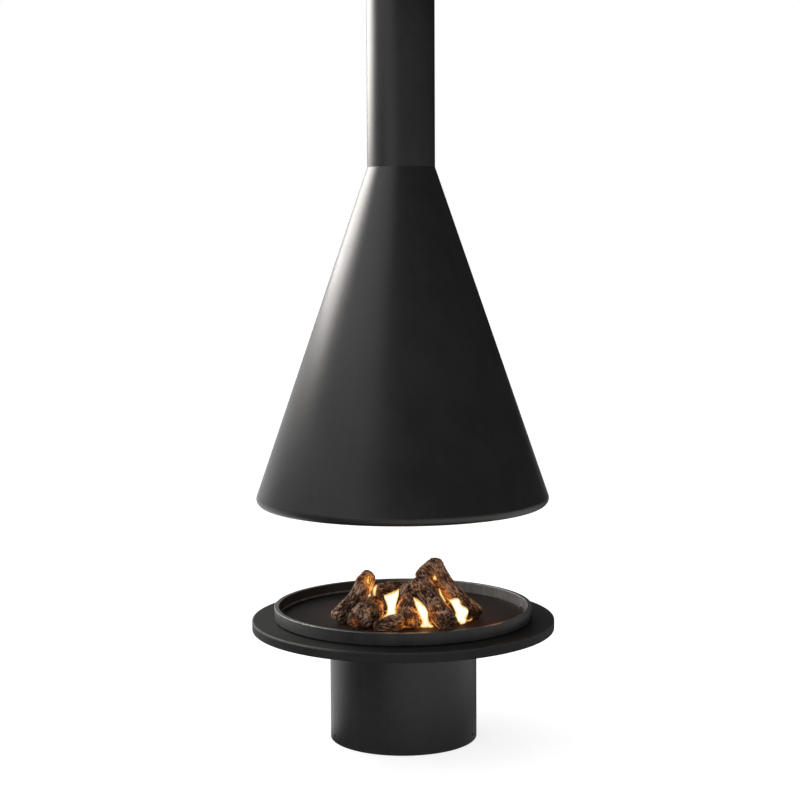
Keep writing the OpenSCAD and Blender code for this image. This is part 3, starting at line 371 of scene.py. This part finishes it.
hearth_coat, draw = charcoal(
    "hearth_coat", dark=(0.016, 0.0158, 0.0155), pale=(0.024, 0.0233, 0.0225), rough=0.58,
    gloss=0.14)
# A painted highlight on the top of the disc's rounded edge, strongest on the lit side
rim_highlight = upper_edge(draw, (0.4942, 0.4958), (0.3935, 0.3958)) * (0.4 + grain(draw, 60, 3))
rim_highlight = rim_highlight * along(draw, HIGHLIGHT_SIDE).fade(0.22, 0.44, 0.12, 1.0)
coat = draw.tree.nodes["Principled BSDF"].inputs["Base Color"].links[0].from_socket
highlighted_coat = (rim_highlight * 0.9).blend(Socket(draw.tree, coat), EDGE_HIGHLIGHT_GREY)
wear(draw, base_color=highlighted_coat, metallic=rim_highlight * 0.3)
dress(hearth_coat, "hearth_disc", "disc_underplate")

# ---------------------------------------------------------------------------
# The fender ring is a channel of rolled steel round the deck. Its inner wall is left bare
# and brushed upright, and the rest is sprayed charcoal. Painted highlights lighten its rim,
# its coat and the wall's seam on the left, where painted shade darkens the wall.
# ---------------------------------------------------------------------------

# Radii and heights, each from where a finish or a painted highlight begins to where it is whole
BARE_WALL = (0.4128, 0.4115)
RIM_RADIUS, RIM_HEIGHT = (0.4235, 0.4250), (0.4405, 0.4420)
SEAM_HEIGHT = (0.4150, 0.4140)
# The grey of the rim's painted highlight
RIM_HIGHLIGHT_STEEL = (0.34, 0.34, 0.34)
# The wall's painted shade, then its two brushed greys
WALL_SHADED, WALL_DARK, WALL_PALE = (0.06, 0.057, 0.053), (0.46, 0.45, 0.44), (0.72, 0.705, 0.69)
# The colour of the painted highlight along the wall's seam with the deck
SEAM_HIGHLIGHT = (0.85, 0.83, 0.80)
RING_DARK, RING_PALE = (0.013, 0.013, 0.013), (0.030, 0.0297, 0.0292)
# The coat's lighter tone, painted on the lit left side
RING_LIT_SIDE = (0.062, 0.0613, 0.0605)

ring_coat, draw = finish("ring_coat", specular_ior_level=0.38)
lines = grain(draw, 1.0, 2, 0.6, stretched(draw, 150, 4))
patch = grain(draw, 1.0, 3, 0.5, stretched(draw, 7, 6))
fine = grain(draw, 60, 3)
brushed = (lines * 0.5 + patch * 0.5).fade(0.3, 0.72)
bare = radius_of(draw).fade(*BARE_WALL)
# A painted highlight on the rim's outer top edge, on the lit side
rim_highlight = upper_edge(draw, RIM_RADIUS, RIM_HEIGHT) * (0.6 + fine * 0.6)
rim_highlight = rim_highlight * along(draw, HIGHLIGHT_SIDE).fade(0.15, 0.36, 0.1, 1.0)
# The wall has painted shade on the left, and a painted highlight on its seam with the deck there
wall_light = along(draw, (1, 0.35, 0)).fade(-0.15, 0.40, 0.25, 1.0)
steel = wall_light.blend(WALL_SHADED, brushed.blend(WALL_DARK, WALL_PALE))
seam_highlight = height_of(draw).fade(*SEAM_HEIGHT) * (0.5 + grain(draw, 30, 4) * 0.8)
seam_highlight = seam_highlight * along(draw, (-1, 0, 0)).fade(-0.2, 0.1)
steel = seam_highlight.blend(steel, SEAM_HIGHLIGHT)
# The coat is painted lighter on the lit left side
left = along(draw, (-1, -0.35, 0)).fade(0.28, 0.44, 0.0, 0.85)
coat = left.blend(brushed.blend(RING_DARK, RING_PALE), RING_LIT_SIDE)
wear(
    draw,
    base_color=rim_highlight.blend(bare.blend(coat, steel), RIM_HIGHLIGHT_STEEL),
    metallic=draw.maths("MAXIMUM", bare * 0.9, rim_highlight * 0.7),
    roughness=0.38 + (lines - 0.5) * 0.2 + (fine - 0.5) * 0.1 + bare * 0.12,
    normal=relief(draw, lines + grain(draw, 500, 2) * 0.4, 0.00008),
)
dress(ring_coat, "fender_ring")

# ---------------------------------------------------------------------------
# The deck plate and the grate over the burner have the same coat. The fire has browned it,
# and painted firelight browns it more on the right. Fine ash dulls it, thicker towards the
# logs. Its edge is bare steel, painted pale as a highlight line.
# ---------------------------------------------------------------------------

DECK_EDGE = (0.3992, 0.4002)
LOG_SIDE = (0.40, 0.22)
# The deck's black, and its brown of heat tint and painted firelight
DECK_BLACK, DECK_BROWN_AND_GLOW = (0.006, 0.0050, 0.0042), (0.050, 0.030, 0.020)
ASH_GREY, EDGE_HIGHLIGHT_STEEL = (0.13, 0.11, 0.09), (0.30, 0.29, 0.27)

deck_coat, draw = finish("deck_coat", specular_ior_level=0.06)
# The deck's bare edge, painted pale as a highlight line
edge_highlight = radius_of(draw).fade(*DECK_EDGE) * (0.5 + grain(draw, 50, 3) * 0.6)
cloud = grain(draw, 9, 5, 0.6)
ash = grain(draw, 320, 4, 0.7)
near = radius_of(draw).fade(*LOG_SIDE)
# Painted firelight browns the deck more towards the right
right = along(draw, (1, -0.3, 0)).fade(-0.30, 0.35)
brown_and_glow = (cloud * 0.5 + near * 0.4 + right * 0.35).fade(0.3, 1.0)
dust = ash.fade(0.52, 0.72) * (near * 0.25 + 0.06)
dusty = dust.blend(brown_and_glow.blend(DECK_BLACK, DECK_BROWN_AND_GLOW), ASH_GREY)
wear(
    draw,
    base_color=edge_highlight.blend(dusty, EDGE_HIGHLIGHT_STEEL),
    metallic=edge_highlight * 0.8,
    roughness=0.5 + (cloud - 0.5) * 0.14 + dust * 0.3,
    normal=relief(draw, grain(draw, 600, 2) + ash * 0.5, 0.00007),
)
dress(deck_coat, "deck_plate", "log_grate")

# ---------------------------------------------------------------------------
# The pedestal is a drum of rolled sheet screwed to a foot plate, with a service door at the
# back. All of it has the hood's coat, with faint upright marks from the rolls.
# ---------------------------------------------------------------------------

drum_coat, _ = charcoal(
    "drum_coat", dark=(0.016, 0.016, 0.0162), pale=(0.026, 0.026, 0.0262), rough=0.38,
    streak=0.16)
dress(drum_coat, "pedestal_shell", "shell_screws", "access_door", "foot_plate")

# ---------------------------------------------------------------------------
# The burner's bowl, ring, mixing tube and ember tray are thin sheet steel that the flames
# have blued and browned; loose soot clings to them.
# ---------------------------------------------------------------------------

LOOSE_SOOT = (0.03, 0.026, 0.024)

burnt, draw = finish("burnt_sheet")
cloud = grain(draw, 16, 5, 0.65)
fine = grain(draw, 160, 3)
tint = draw.node("ValToRGB", {0: cloud}, stops=[
    (0.3, (0.30, 0.28, 0.25)),
    (0.45, (0.32, 0.22, 0.12)),
    (0.55, (0.16, 0.13, 0.17)),
    (0.7, (0.26, 0.26, 0.27)),
])
sooty = (height_of(draw) + (cloud - 0.5) * 0.05).fade(0.34, 0.39)
wear(
    draw,
    base_color=(sooty * 0.8).blend(tint, LOOSE_SOOT),
    roughness=0.32 + fine * 0.2 + sooty * 0.3,
    metallic=1 - sooty * 0.6,
    normal=relief(draw, fine + cloud, 0.00008),
)
dress(burnt, "burner_bowl", "burner_ring", "burner_feet", "mixing_tube", "injector_bracket",
      "ember_tray")

# ---------------------------------------------------------------------------
# The stop valve, injector and pilot are turned brass, and the pipes are bent copper, both
# with the brown spots of handling.
# ---------------------------------------------------------------------------


def turned(name, wall_light, dull, rough):
    made, draw = finish(name, metallic=1.0)
    spots = grain(draw, 45, 5, 0.65)
    lathe = grain(draw, 1.0, 2, 0.5, stretched(draw, 4, 1800))
    wear(
        draw,
        base_color=spots.fade(0.42, 0.68).blend(wall_light, dull),
        roughness=rough + spots * 0.2 + (lathe - 0.5) * 0.1,
        normal=relief(draw, lathe * 0.6 + grain(draw, 300, 2), 0.00003),
    )
    return made


brass = turned("brass", wall_light=(0.62, 0.44, 0.17), dull=(0.33, 0.22, 0.09), rough=0.2)
copper = turned("copper", wall_light=(0.62, 0.31, 0.19), dull=(0.27, 0.14, 0.09), rough=0.24)
dress(brass, "stop_valve", "injector", "pilot_burner")
dress(copper, "supply_pipe", "burner_pipe", "thermocouple")

# ---------------------------------------------------------------------------
# The gas valve is a die-cast alloy block, blasted to a fine even grain. The folded panel in
# front of it is bare steel with the marks of its bending.
# ---------------------------------------------------------------------------

CAST_DARK, CAST_PALE = (0.36, 0.36, 0.37), (0.5, 0.5, 0.5)
PANEL_DARK, PANEL_PALE = (0.42, 0.41, 0.39), (0.56, 0.55, 0.53)

cast, draw = finish("cast_alloy", metallic=1.0)
grit = grain(draw, 1100, 3, 0.6)
cloud = grain(draw, 40, 4)
wear(
    draw,
    base_color=(grit * 0.4 + cloud * 0.6).fade(0.3, 0.7).blend(CAST_DARK, CAST_PALE),
    roughness=0.46 + (grit - 0.5) * 0.25,
    normal=relief(draw, grit, 0.00012),
)
dress(cast, "gas_valve")

panel_sheet, draw = finish("panel_sheet", metallic=1.0)
lines = grain(draw, 1.0, 3, 0.6, scaled(draw, (60, 60, 1500)))
cloud = grain(draw, 22, 4)
wear(
    draw,
    base_color=(lines * 0.5 + cloud * 0.5).fade(0.3, 0.7).blend(PANEL_DARK, PANEL_PALE),
    roughness=0.3 + lines * 0.2,
    normal=relief(draw, lines, 0.00003),
)
dress(panel_sheet, "control_panel")

# ---------------------------------------------------------------------------
# The knob, the button, the lever's grip and the igniter are moulded plastics, the spark
# lead is a silicone sleeve, and the electrode has a glazed ceramic body.
# ---------------------------------------------------------------------------


def moulded(name, colour, worn, rough, bump=0.00004, **fixed):
    made, draw = finish(name, **fixed)
    texture = grain(draw, 1500, 2, 0.6)
    rubs = grain(draw, 70, 5, 0.7)
    wear(
        draw,
        base_color=rubs.fade(0.5, 0.75).blend(colour, worn),
        roughness=rough + (rubs - 0.5) * 0.2,
        normal=relief(draw, texture, bump),
    )
    return made


black = moulded("black_plastic", colour=(0.017, 0.017, 0.018), worn=(0.03, 0.03, 0.03), rough=0.45)
red = moulded("red_plastic", colour=(0.42, 0.022, 0.015), worn=(0.5, 0.05, 0.035), rough=0.25,
              bump=0.00001)
yellow = moulded("yellow_plastic", colour=(0.66, 0.4, 0.02), worn=(0.5, 0.3, 0.03), rough=0.4)
sleeve = moulded("silicone", colour=(0.3, 0.035, 0.025), worn=(0.36, 0.06, 0.05), rough=0.6,
                 bump=0.0001)
glazed = moulded("white_ceramic", colour=(0.78, 0.76, 0.7), worn=(0.6, 0.55, 0.46), rough=0.22,
                 coat_weight=0.5)
dress(black, "control_knob", "igniter_body")
dress(red, "igniter_button")
dress(yellow, "stop_lever")
dress(sleeve, "igniter_lead")
dress(glazed, "spark_electrode")

# ---------------------------------------------------------------------------
# The flames are tongues of burning gas that rise from the ports between the logs. Each has
# its depth, how far it leans back as it rises, its thickness, and its edges at some heights.
# ---------------------------------------------------------------------------

# From the top down: height, left edge and right edge, in millimetres
FLAMES = {
    "left_flame": (-0.110, 0.45, 0.020, [
        (513, -14, -12), (505, -29, -12), (498, -46, -12), (493, -63, -13), (487, -64, -14),
        (477, -59, -18), (464, -54, -21), (451, -52, -23), (442, -54, -21), (437, -58, -17),
        (433, -62, -27), (427, -67, -52), (420, -73, -64)]),
    "middle_flame": (-0.208, 0.20, 0.018, [
        (508, 31, 34), (502, 33, 47), (494, 35, 57), (480, 39, 71), (462, 46, 81),
        (448, 53, 80), (437, 56, 82), (427, 56, 90), (419, 52, 98), (412, 52, 103)]),
    "right_flame": (-0.172, 0.30, 0.020, [
        (497, 172, 176), (492, 145, 183), (482, 151, 186), (474, 157, 190), (468, 160, 203),
        (462, 163, 210), (453, 167, 211), (444, 166, 208), (435, 167, 206), (428, 172, 208),
        (420, 178, 205), (413, 183, 187)]),
    "right_foot": (-0.172, 0.0, 0.008, [
        (434, 219, 224), (429, 207, 223), (423, 198, 219), (419, 192, 204)]),
    "long_flame": (-0.062, 0.0, 0.008, [
        (508, 117, 119), (501, 116, 125), (490, 117, 128), (477, 126, 134), (466, 131, 142),
        (460, 137, 139)]),
    "top_flame": (-0.036, 0.0, 0.008, [
        (546, 103, 107), (541, 99, 111), (534, 98, 112), (529, 101, 111)]),
    "rear_flame": (0.006, 0.0, 0.009, [
        (487, -112, -110), (476, -116, -108), (465, -120, -106), (455, -120, -112)]),
    "back_flame": (0.030, 0.0, 0.010, [
        (499, -93, -83), (491, -100, -88), (480, -101, -90), (470, -100, -91), (460, -97, -88),
        (455, -94, -86)]),
    "front_ember": (-0.262, 0.0, 0.006, [
        (428, 12, 17), (427, 8, 22), (425, 8, 24), (424, 14, 26)]),
}
# The height at which a leaning flame is at its own depth
LEAN_HEIGHT = 0.45
# How far a flame's tip and foot stand past its first and last row
TIP, FOOT = 0.002, -0.001
# How far in from its edge a flame is at its hottest
HOT_DEPTH = 0.008


def keep(piece, mark, values):
    """Keeps a value at each point of a mesh, for its material to read."""
    piece.data.attributes.new(mark, "FLOAT", "POINT").data.foreach_set("value", values)


def kept(draw, mark):
    return draw.node("Attribute", output="Fac", attribute_name=mark)


burning, draw = finish("flame", base_color=(0.0, 0.0, 0.0), roughness=1.0,
                       specular_ior_level=0.0, emission_strength=1.18)
lick = grain(draw, 95, 3, 0.6, scaled(draw, (1, 1, 0.4)))
foot = height_of(draw).fade(0.452, 0.424)
heat = kept(draw, "inside") + (lick - 0.5) * 1.6 - foot * 0.3
wear(
    draw,
    emission_color=draw.node("ValToRGB", {0: heat}, stops=[
        (0.0, (0.45, 0.13, 0.02)),
        (0.2, (0.75, 0.40, 0.08)),
        (0.45, (0.82, 0.68, 0.28)),
        (0.75, (0.88, 0.84, 0.62)),
        (0.95, (0.95, 0.95, 0.90)),
    ]),
    alpha=heat.fade(-0.05, 0.25, 0.2, 1.0),
)


def gap_to_outline(x, z, outline):
    """The distance of a point to the nearest side of an outline."""
    best = 1.0
    for (ax, az), (bx, bz) in zip(outline, outline[1:] + outline[:1]):
        dx, dz = bx - ax, bz - az
        t = max(0.0, min(1.0, ((x - ax) * dx + (z - az) * dz) / (dx * dx + dz * dz)))
        best = min(best, math.hypot(x - ax - t * dx, z - az - t * dz))
    return best


fire_points = []
for name, (depth, lean, thick, rows) in FLAMES.items():
    rows = [(z / 1000, left / 1000, right / 1000) for z, left, right in rows]
    bpy.ops.object.select_all(action="DESELECT")
    bpy.ops.mesh.primitive_uv_sphere_add(segments=16, ring_count=len(rows) + 1, radius=1.0)
    flame = bpy.context.active_object
    flame.name = name
    levels = sorted({round(v.co.z, 4) for v in flame.data.vertices}, reverse=True)
    bottom = len(levels) - 1
    for v in flame.data.vertices:
        level = levels.index(round(v.co.z, 4))
        z, left, right = rows[min(max(level - 1, 0), len(rows) - 1)]
        across = v.co.xy.normalized() if 0 < level < bottom else Vector((0, 0))
        half = (right - left) / 2
        z += {0: TIP, bottom: FOOT}.get(level, 0.0)
        back = depth + lean * (z - LEAN_HEIGHT)
        v.co = ((left + right) / 2 + half * across.x, back + min(thick / 2, half) * across.y, z)
    rounded = flame.modifiers.new("rounded", "SUBSURF")
    rounded.levels = rounded.render_levels = 2
    bpy.ops.object.modifier_apply(modifier="rounded")
    outline = [(left, z) for z, left, right in rows]
    outline += [(right, z) for z, left, right in reversed(rows)]
    keep(flame, "inside", [min(1.0, gap_to_outline(v.co.x, v.co.z, outline) / HOT_DEPTH)
                           for v in flame.data.vertices])
    flame.data.materials.append(burning)
    bpy.ops.object.shade_smooth()
    flame.visible_shadow = False
    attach(flame, "root")
    fire_points += [v.co.copy() for v in flame.data.vertices]

# Where the flames light the logs and the deck from, and how strongly, in watts
FIRELIGHTS = (
    ((-0.04, -0.12, 0.472), 0.14),
    ((0.065, -0.225, 0.455), 0.12),
    ((0.185, -0.17, 0.458), 0.09),
    ((-0.1, 0.0, 0.49), 0.08),
    ((0.12, -0.06, 0.49), 0.05),
    ((0.02, -0.34, 0.48), 0.04),
    ((0.30, -0.12, 0.54), 0.16),
)
for place, watts in FIRELIGHTS:
    glow = bpy.data.lights.new("firelight", "POINT")
    glow.energy = watts
    glow.color = (1.0, 0.42, 0.1)
    glow.shadow_soft_size = 0.02
    spot = bpy.data.objects.new("firelight", glow)
    bpy.context.collection.objects.link(spot)
    spot.location = place

# ---------------------------------------------------------------------------
# The ember bed is a layer of broken ceramic chips on the tray. They glow over the burner's
# ports and lie grey and white with ash further off.
# ---------------------------------------------------------------------------

BED_RADIUS = 0.184
# Each layer's number of chips, its height, and its chips' size beside the lower layer's
LAYERS = ((330, 0.3925, 1), (260, 0.3975, 0.85))
CHIP_SIZE = (0.0085, 0.0145)
CHIP_FLATNESS = 0.62
# How far a chip's corners are broken off their places, on a cube of 1 m
NICK = 0.09
# The turn from each chip to the next, so that they never fall in line, and a full turn
GOLDEN_TURN, FULL_TURN = 2.39996, 6.28
# The glow begins outside the burner ring's bore and ends inside the edge of the bed
GLOW_INNER, GLOW_OUTER = (0.075, 0.115), (0.165, 0.13)
CHIP_BLACK, CHIP_ASHEN = (0.02, 0.016, 0.014), (0.42, 0.37, 0.32)
EMBER_RED = (1.0, 0.3, 0.04)

random.seed(7)
chips = []
bpy.ops.object.select_all(action="DESELECT")
bpy.ops.mesh.primitive_cube_add(size=1)
seed_chip = bpy.context.active_object
bpy.ops.object.mode_set(mode="EDIT")
bpy.ops.mesh.bevel(offset=0.22, segments=1)
bpy.ops.object.mode_set(mode="OBJECT")
for v in seed_chip.data.vertices:
    v.co += Vector([random.uniform(-NICK, NICK) for _ in range(3)])
for layer, (count, level, scale) in enumerate(LAYERS):
    for i in range(count):
        r = BED_RADIUS * math.sqrt((i + 0.5) / count)
        turn = i * GOLDEN_TURN + layer
        size = random.uniform(*CHIP_SIZE) * scale
        chip = bpy.data.objects.new("chip", seed_chip.data.copy())
        place = (r * math.cos(turn), r * math.sin(turn), level + random.uniform(-0.001, 0.001))
        tumble = random.uniform(0, FULL_TURN)
        axis = Vector([random.random() for _ in range(3)])
        long, wide = size * random.uniform(0.8, 1.3), size * random.uniform(0.7, 1.1)
        chip.data.transform(
            Matrix.Translation(place)
            @ Matrix.Rotation(tumble, 4, axis)
            @ Matrix.Diagonal((long, wide, size * CHIP_FLATNESS, 1))
        )
        keep(chip, "ash", [random.random()] * len(chip.data.vertices))
        bpy.context.collection.objects.link(chip)
        chips.append(chip)
bpy.data.objects.remove(seed_chip)
bpy.ops.object.select_all(action="DESELECT")
for chip in chips:
    chip.select_set(True)
bpy.context.view_layer.objects.active = chips[0]
bpy.ops.object.join()
bed = bpy.context.active_object
bed.name = "ember_chips"

ember, draw = finish("ember_chips", emission_strength=1.0)
tone = kept(draw, "ash")
rough = grain(draw, 420, 4, 0.65)
around = radius_of(draw)
glowing = around.fade(*GLOW_INNER) * around.fade(*GLOW_OUTER)
heat = glowing * (tone * 0.6 + rough * 0.8).fade(0.35, 0.95)
wear(
    draw,
    base_color=(tone * 0.7 + rough * 0.5).fade(0.45, 1.0).blend(CHIP_BLACK, CHIP_ASHEN),
    roughness=0.75 + rough * 0.2,
    emission_color=heat.blend((0.0, 0.0, 0.0), EMBER_RED),
    normal=relief(draw, rough, 0.0008),
)
bed.data.materials.append(ember)
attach(bed, "root")
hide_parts("ember_bed")

# ---------------------------------------------------------------------------
# The eight logs are cast in fibre ceramic from real bark: wrinkled, cracked along their
# length and knotted, dark brown with paler ridges, partly painted highlight, and with
# firelight painted orange where a flame licks them.
# ---------------------------------------------------------------------------

# Where a cast log bulges or bends: the middle of the bulge, its push and its reach
LOGS = {
    "rear_log": [],
    "left_log": [
        ((-0.160, -0.215, 0.432), (-0.012, -0.004, -0.004), 0.040),
        ((-0.100, -0.075, 0.487), (0.0, 0.0, -0.008), 0.050),
    ],
    "front_log": [((-0.077, -0.252, 0.450), (0.0, 0.0, -0.012), 0.040)],
    "middle_log": [((-0.004, -0.120, 0.455), (-0.014, 0.0, 0.0), 0.065)],
    "right_log": [],
    "left_leaning_log": [
        ((-0.118, -0.060, 0.490), (0.010, 0.0, 0.0), 0.042),
        ((-0.182, -0.095, 0.488), (0.026, 0.0, 0.0), 0.050),
        ((-0.148, -0.045, 0.556), (0.008, 0.0, -0.003), 0.022),
    ],
    "long_leaning_log": [
        ((0.095, -0.185, 0.445), (-0.014, 0.0, 0.0), 0.045),
        ((0.045, -0.020, 0.520), (-0.010, 0.0, 0.004), 0.040),
        ((0.128, -0.105, 0.475), (-0.008, 0.0, 0.0), 0.040),
    ],
    "right_leaning_log": [
        ((0.055, 0.020, 0.530), (-0.015, 0.0, 0.0), 0.045),
        ((0.056, 0.015, 0.575), (0.010, 0.0, -0.006), 0.026),
        ((0.235, -0.085, 0.435), (0.010, 0.0, -0.005), 0.040),
    ],
}
# Where a hidden flame paints firelight on the bark, how far it reaches, and how strongly
FIRELIGHT_SPOTS = (
    ((-0.113, -0.078, 0.530), 0.028, 1.2),
    ((-0.109, -0.082, 0.510), 0.026, 1.2),
    ((0.010, -0.252, 0.424), 0.016, 1.1),
    ((0.030, -0.250, 0.440), 0.022, 0.75),
    ((-0.160, -0.240, 0.436), 0.017, 0.5),
)
# A flame's painted firelight reaches further above it than beside it
FIRELIGHT_LIFT = Vector((1.0, 1.0, 0.6))
FLAME_REACH = 0.026
DECK_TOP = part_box("deck_plate")[1][2]
DECK_CLEARANCE = 0.0005
# How the solid's faces are made an even skin for the bark, which then swells a little
SKIN = (
    ("REMESH", {"mode": "VOXEL", "voxel_size": 0.0019}),
    ("SMOOTH", {"factor": 0.5, "iterations": 8}),
    ("DISPLACE", {"strength": 0.0025, "mid_level": 0.0}),
)
# Each log takes its bark from another stretch of the textures
TEXTURE_STRETCH = 0.7

lumps = bpy.data.textures.new("lumps", "CLOUDS")
lumps.noise_scale = 1.0
ridges = bpy.data.textures.new("ridges", "MUSGRAVE")
ridges.musgrave_type = "RIDGED_MULTIFRACTAL"
ridges.noise_scale = 1.0
ridges.octaves = 3.0
ridges.noise_basis = "ORIGINAL_PERLIN"
wrinkles = bpy.data.textures.new("wrinkles", "VORONOI")
wrinkles.noise_scale = 1.0
wrinkles.weight_1, wrinkles.weight_2 = -1.0, 1.0
# Each texture's size along and across the log, its height, and the level that stays put
BARK = (
    (lumps, (0.05, 0.03, 0.03), 0.006, 0.5),
    (ridges, (0.024, 0.0062, 0.0062), 0.0032, 0.7),
    (wrinkles, (0.011, 0.0048, 0.0048), 0.0018, 0.6),
)
# The black of the cracks, and the orange tint of painted firelight
CRACK_BLACK, FIRELIT_TINT = (0.02, 0.013, 0.009), (0.12, 0.045, 0.015)
# From the bottom of a groove to the top of a ridge, partly painted shade and highlight
BARK_TONES = [
    (0.0, (0.026, 0.013, 0.007)),
    (0.35, (0.108, 0.056, 0.032)),
    (0.65, (0.27, 0.15, 0.092)),
    (1.0, (0.66, 0.44, 0.30)),
]
# Painted firelight, glowing: from bark that no flame lights to bark in the flame
GLOW_TONES = [
    (0.0, (0.0, 0.0, 0.0)),
    (0.25, (0.05, 0.012, 0.002)),
    (0.55, (0.31, 0.09, 0.013)),
    (0.85, (0.78, 0.30, 0.04)),
    (1.0, (1.0, 0.55, 0.13)),
]

fire_tree = KDTree(len(fire_points))
for i, point in enumerate(fire_points):
    fire_tree.insert(point * FIRELIGHT_LIFT, i)
fire_tree.balance()


def nearness(point, place, reach):
    """1 at a place, and less the further a point lies from it."""
    return math.exp(-(((point - Vector(place)).length / reach) ** 2))


def firelight_strength(point, normal):
    """How much painted firelight the flames give a point of the bark, from 0 to about 1."""
    _, i, gap = fire_tree.find(point * FIRELIGHT_LIFT)
    facing = max(0.0, normal.dot((fire_points[i] - point).normalized()))
    painted_firelight = (0.3 + 0.7 * facing) * math.exp(-((gap / FLAME_REACH) ** 1.3))
    for place, reach, strength in FIRELIGHT_SPOTS:
        painted_firelight = max(painted_firelight, strength * nearness(point, place, reach))
    return painted_firelight


def pose_of(points):
    """Where a log lies: at its points' middle, with X along its length."""
    middle = sum(points, Vector()) / len(points)
    far = max(points, key=lambda p: (p - middle).length)
    other = max(points, key=lambda p: (p - far).length)
    pose = (far - other).normalized().to_track_quat("X", "Z").to_matrix().to_4x4()
    pose.translation = middle
    return pose


for number, (name, bulges) in enumerate(LOGS.items()):
    log = bpy.data.objects.new(name + "_bark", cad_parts[name].data.copy())
    bpy.context.collection.objects.link(log)
    bpy.ops.object.select_all(action="DESELECT")
    log.select_set(True)
    bpy.context.view_layer.objects.active = log
    bpy.ops.object.mode_set(mode="EDIT")
    bpy.ops.mesh.select_all(action="SELECT")
    bpy.ops.mesh.remove_doubles(threshold=0.00001)
    bpy.ops.object.mode_set(mode="OBJECT")
    pose = pose_of([v.co.copy() for v in log.data.vertices])
    for kind, settings in SKIN:
        step = log.modifiers.new(kind, kind)
        for key, value in settings.items():
            setattr(step, key, value)
        bpy.ops.object.modifier_apply(modifier=kind)
    for v in log.data.vertices:
        start = v.co.copy()
        for place, push, reach in bulges:
            v.co += Vector(push) * nearness(start, place, reach)
        v.co.z = max(v.co.z, DECK_TOP + DECK_CLEARANCE)
    before = [v.co.copy() for v in log.data.vertices]
    normals = [v.normal.copy() for v in log.data.vertices]
    stretch = Matrix.Translation((number * TEXTURE_STRETCH, 0, 0))
    guides = []
    for texture, size, height, level in BARK:
        guide = bpy.data.objects.new("guide", None)
        bpy.context.collection.objects.link(guide)
        guide.matrix_world = pose @ stretch @ Matrix.Diagonal((*size, 1))
        bpy.context.view_layer.update()
        push = log.modifiers.new(texture.name, "DISPLACE")
        push.texture = texture
        push.texture_coords = "OBJECT"
        push.texture_coords_object = guide
        push.strength = height
        push.mid_level = level
        bpy.ops.object.modifier_apply(modifier=texture.name)
        guides.append(guide)
    for guide in guides:
        bpy.data.objects.remove(guide)
    # The lowest and the highest twelfth of the bark are all groove and all ridge
    depth = [(v.co - b).dot(n) for v, b, n in zip(log.data.vertices, before, normals)]
    ranked = sorted(depth)
    low, high = ranked[len(ranked) // 12], ranked[-len(ranked) // 12]
    keep(log, "groove", [(d - low) / (high - low) for d in depth])
    keep(log, "painted_firelight", [firelight_strength(v.co, n) for v, n in zip(log.data.vertices, normals)])
    bpy.ops.object.shade_smooth()

    bark, draw = finish(name + "_bark", emission_strength=1.0, specular_ior_level=0.3)
    lie = {0: where(draw), 1: tuple(pose.translation), 2: tuple(pose.to_euler())}
    place = draw.node("Mapping", lie, vector_type="TEXTURE")
    long_way = scaled(draw, (0.25, 1, 1), place)
    fibre = grain(draw, 300, 3, 0.6, long_way)
    patch = grain(draw, 26, 4, 0.6, place)
    cells = {"Vector": long_way, "Scale": 150.0}
    crack = draw.node("TexVoronoi", cells, feature="DISTANCE_TO_EDGE").fade(0.0, 0.10)
    top = kept(draw, "groove")
    flame_lit = kept(draw, "painted_firelight")
    # Painted shade darkens the bark low down, and the bark is painted paler higher up
    soot_and_shade = height_of(draw).fade(0.425, 0.54, -0.12, 0.15)
    # Paler ridges, darker grooves: the cast's colour and painted highlight and shade
    pale = (top * 0.55 + fibre * 0.85 + (patch - 0.5) * 0.6 + soot_and_shade).fade(0.32, 1.08)
    tone = draw.node("ValToRGB", {0: pale}, stops=BARK_TONES)
    # Painted firelight tints the bark's colour orange
    tone = (flame_lit * 0.75).blend(tone, FIRELIT_TINT)
    # The painted firelight glows as emission, most on ridges and fibres, least in cracks
    fire = flame_lit * (fibre * 0.8 + top * 0.5).fade(0.2, 0.9, 0.4, 1.25)
    fire = fire * crack.fade(0.0, 1.0, 0.5, 1.0)
    wear(
        draw,
        base_color=crack.fade(0.0, 1.0, 0.6, 0.0).blend(tone, CRACK_BLACK),
        roughness=0.82 + (fibre - 0.5) * 0.2,
        emission_color=draw.node("ValToRGB", {0: fire}, stops=GLOW_TONES),
        normal=relief(draw, fibre + crack * 0.6, 0.0012),
    )
    log.data.materials.clear()
    log.data.materials.append(bark)
    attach(log, "root")
    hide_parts(name)
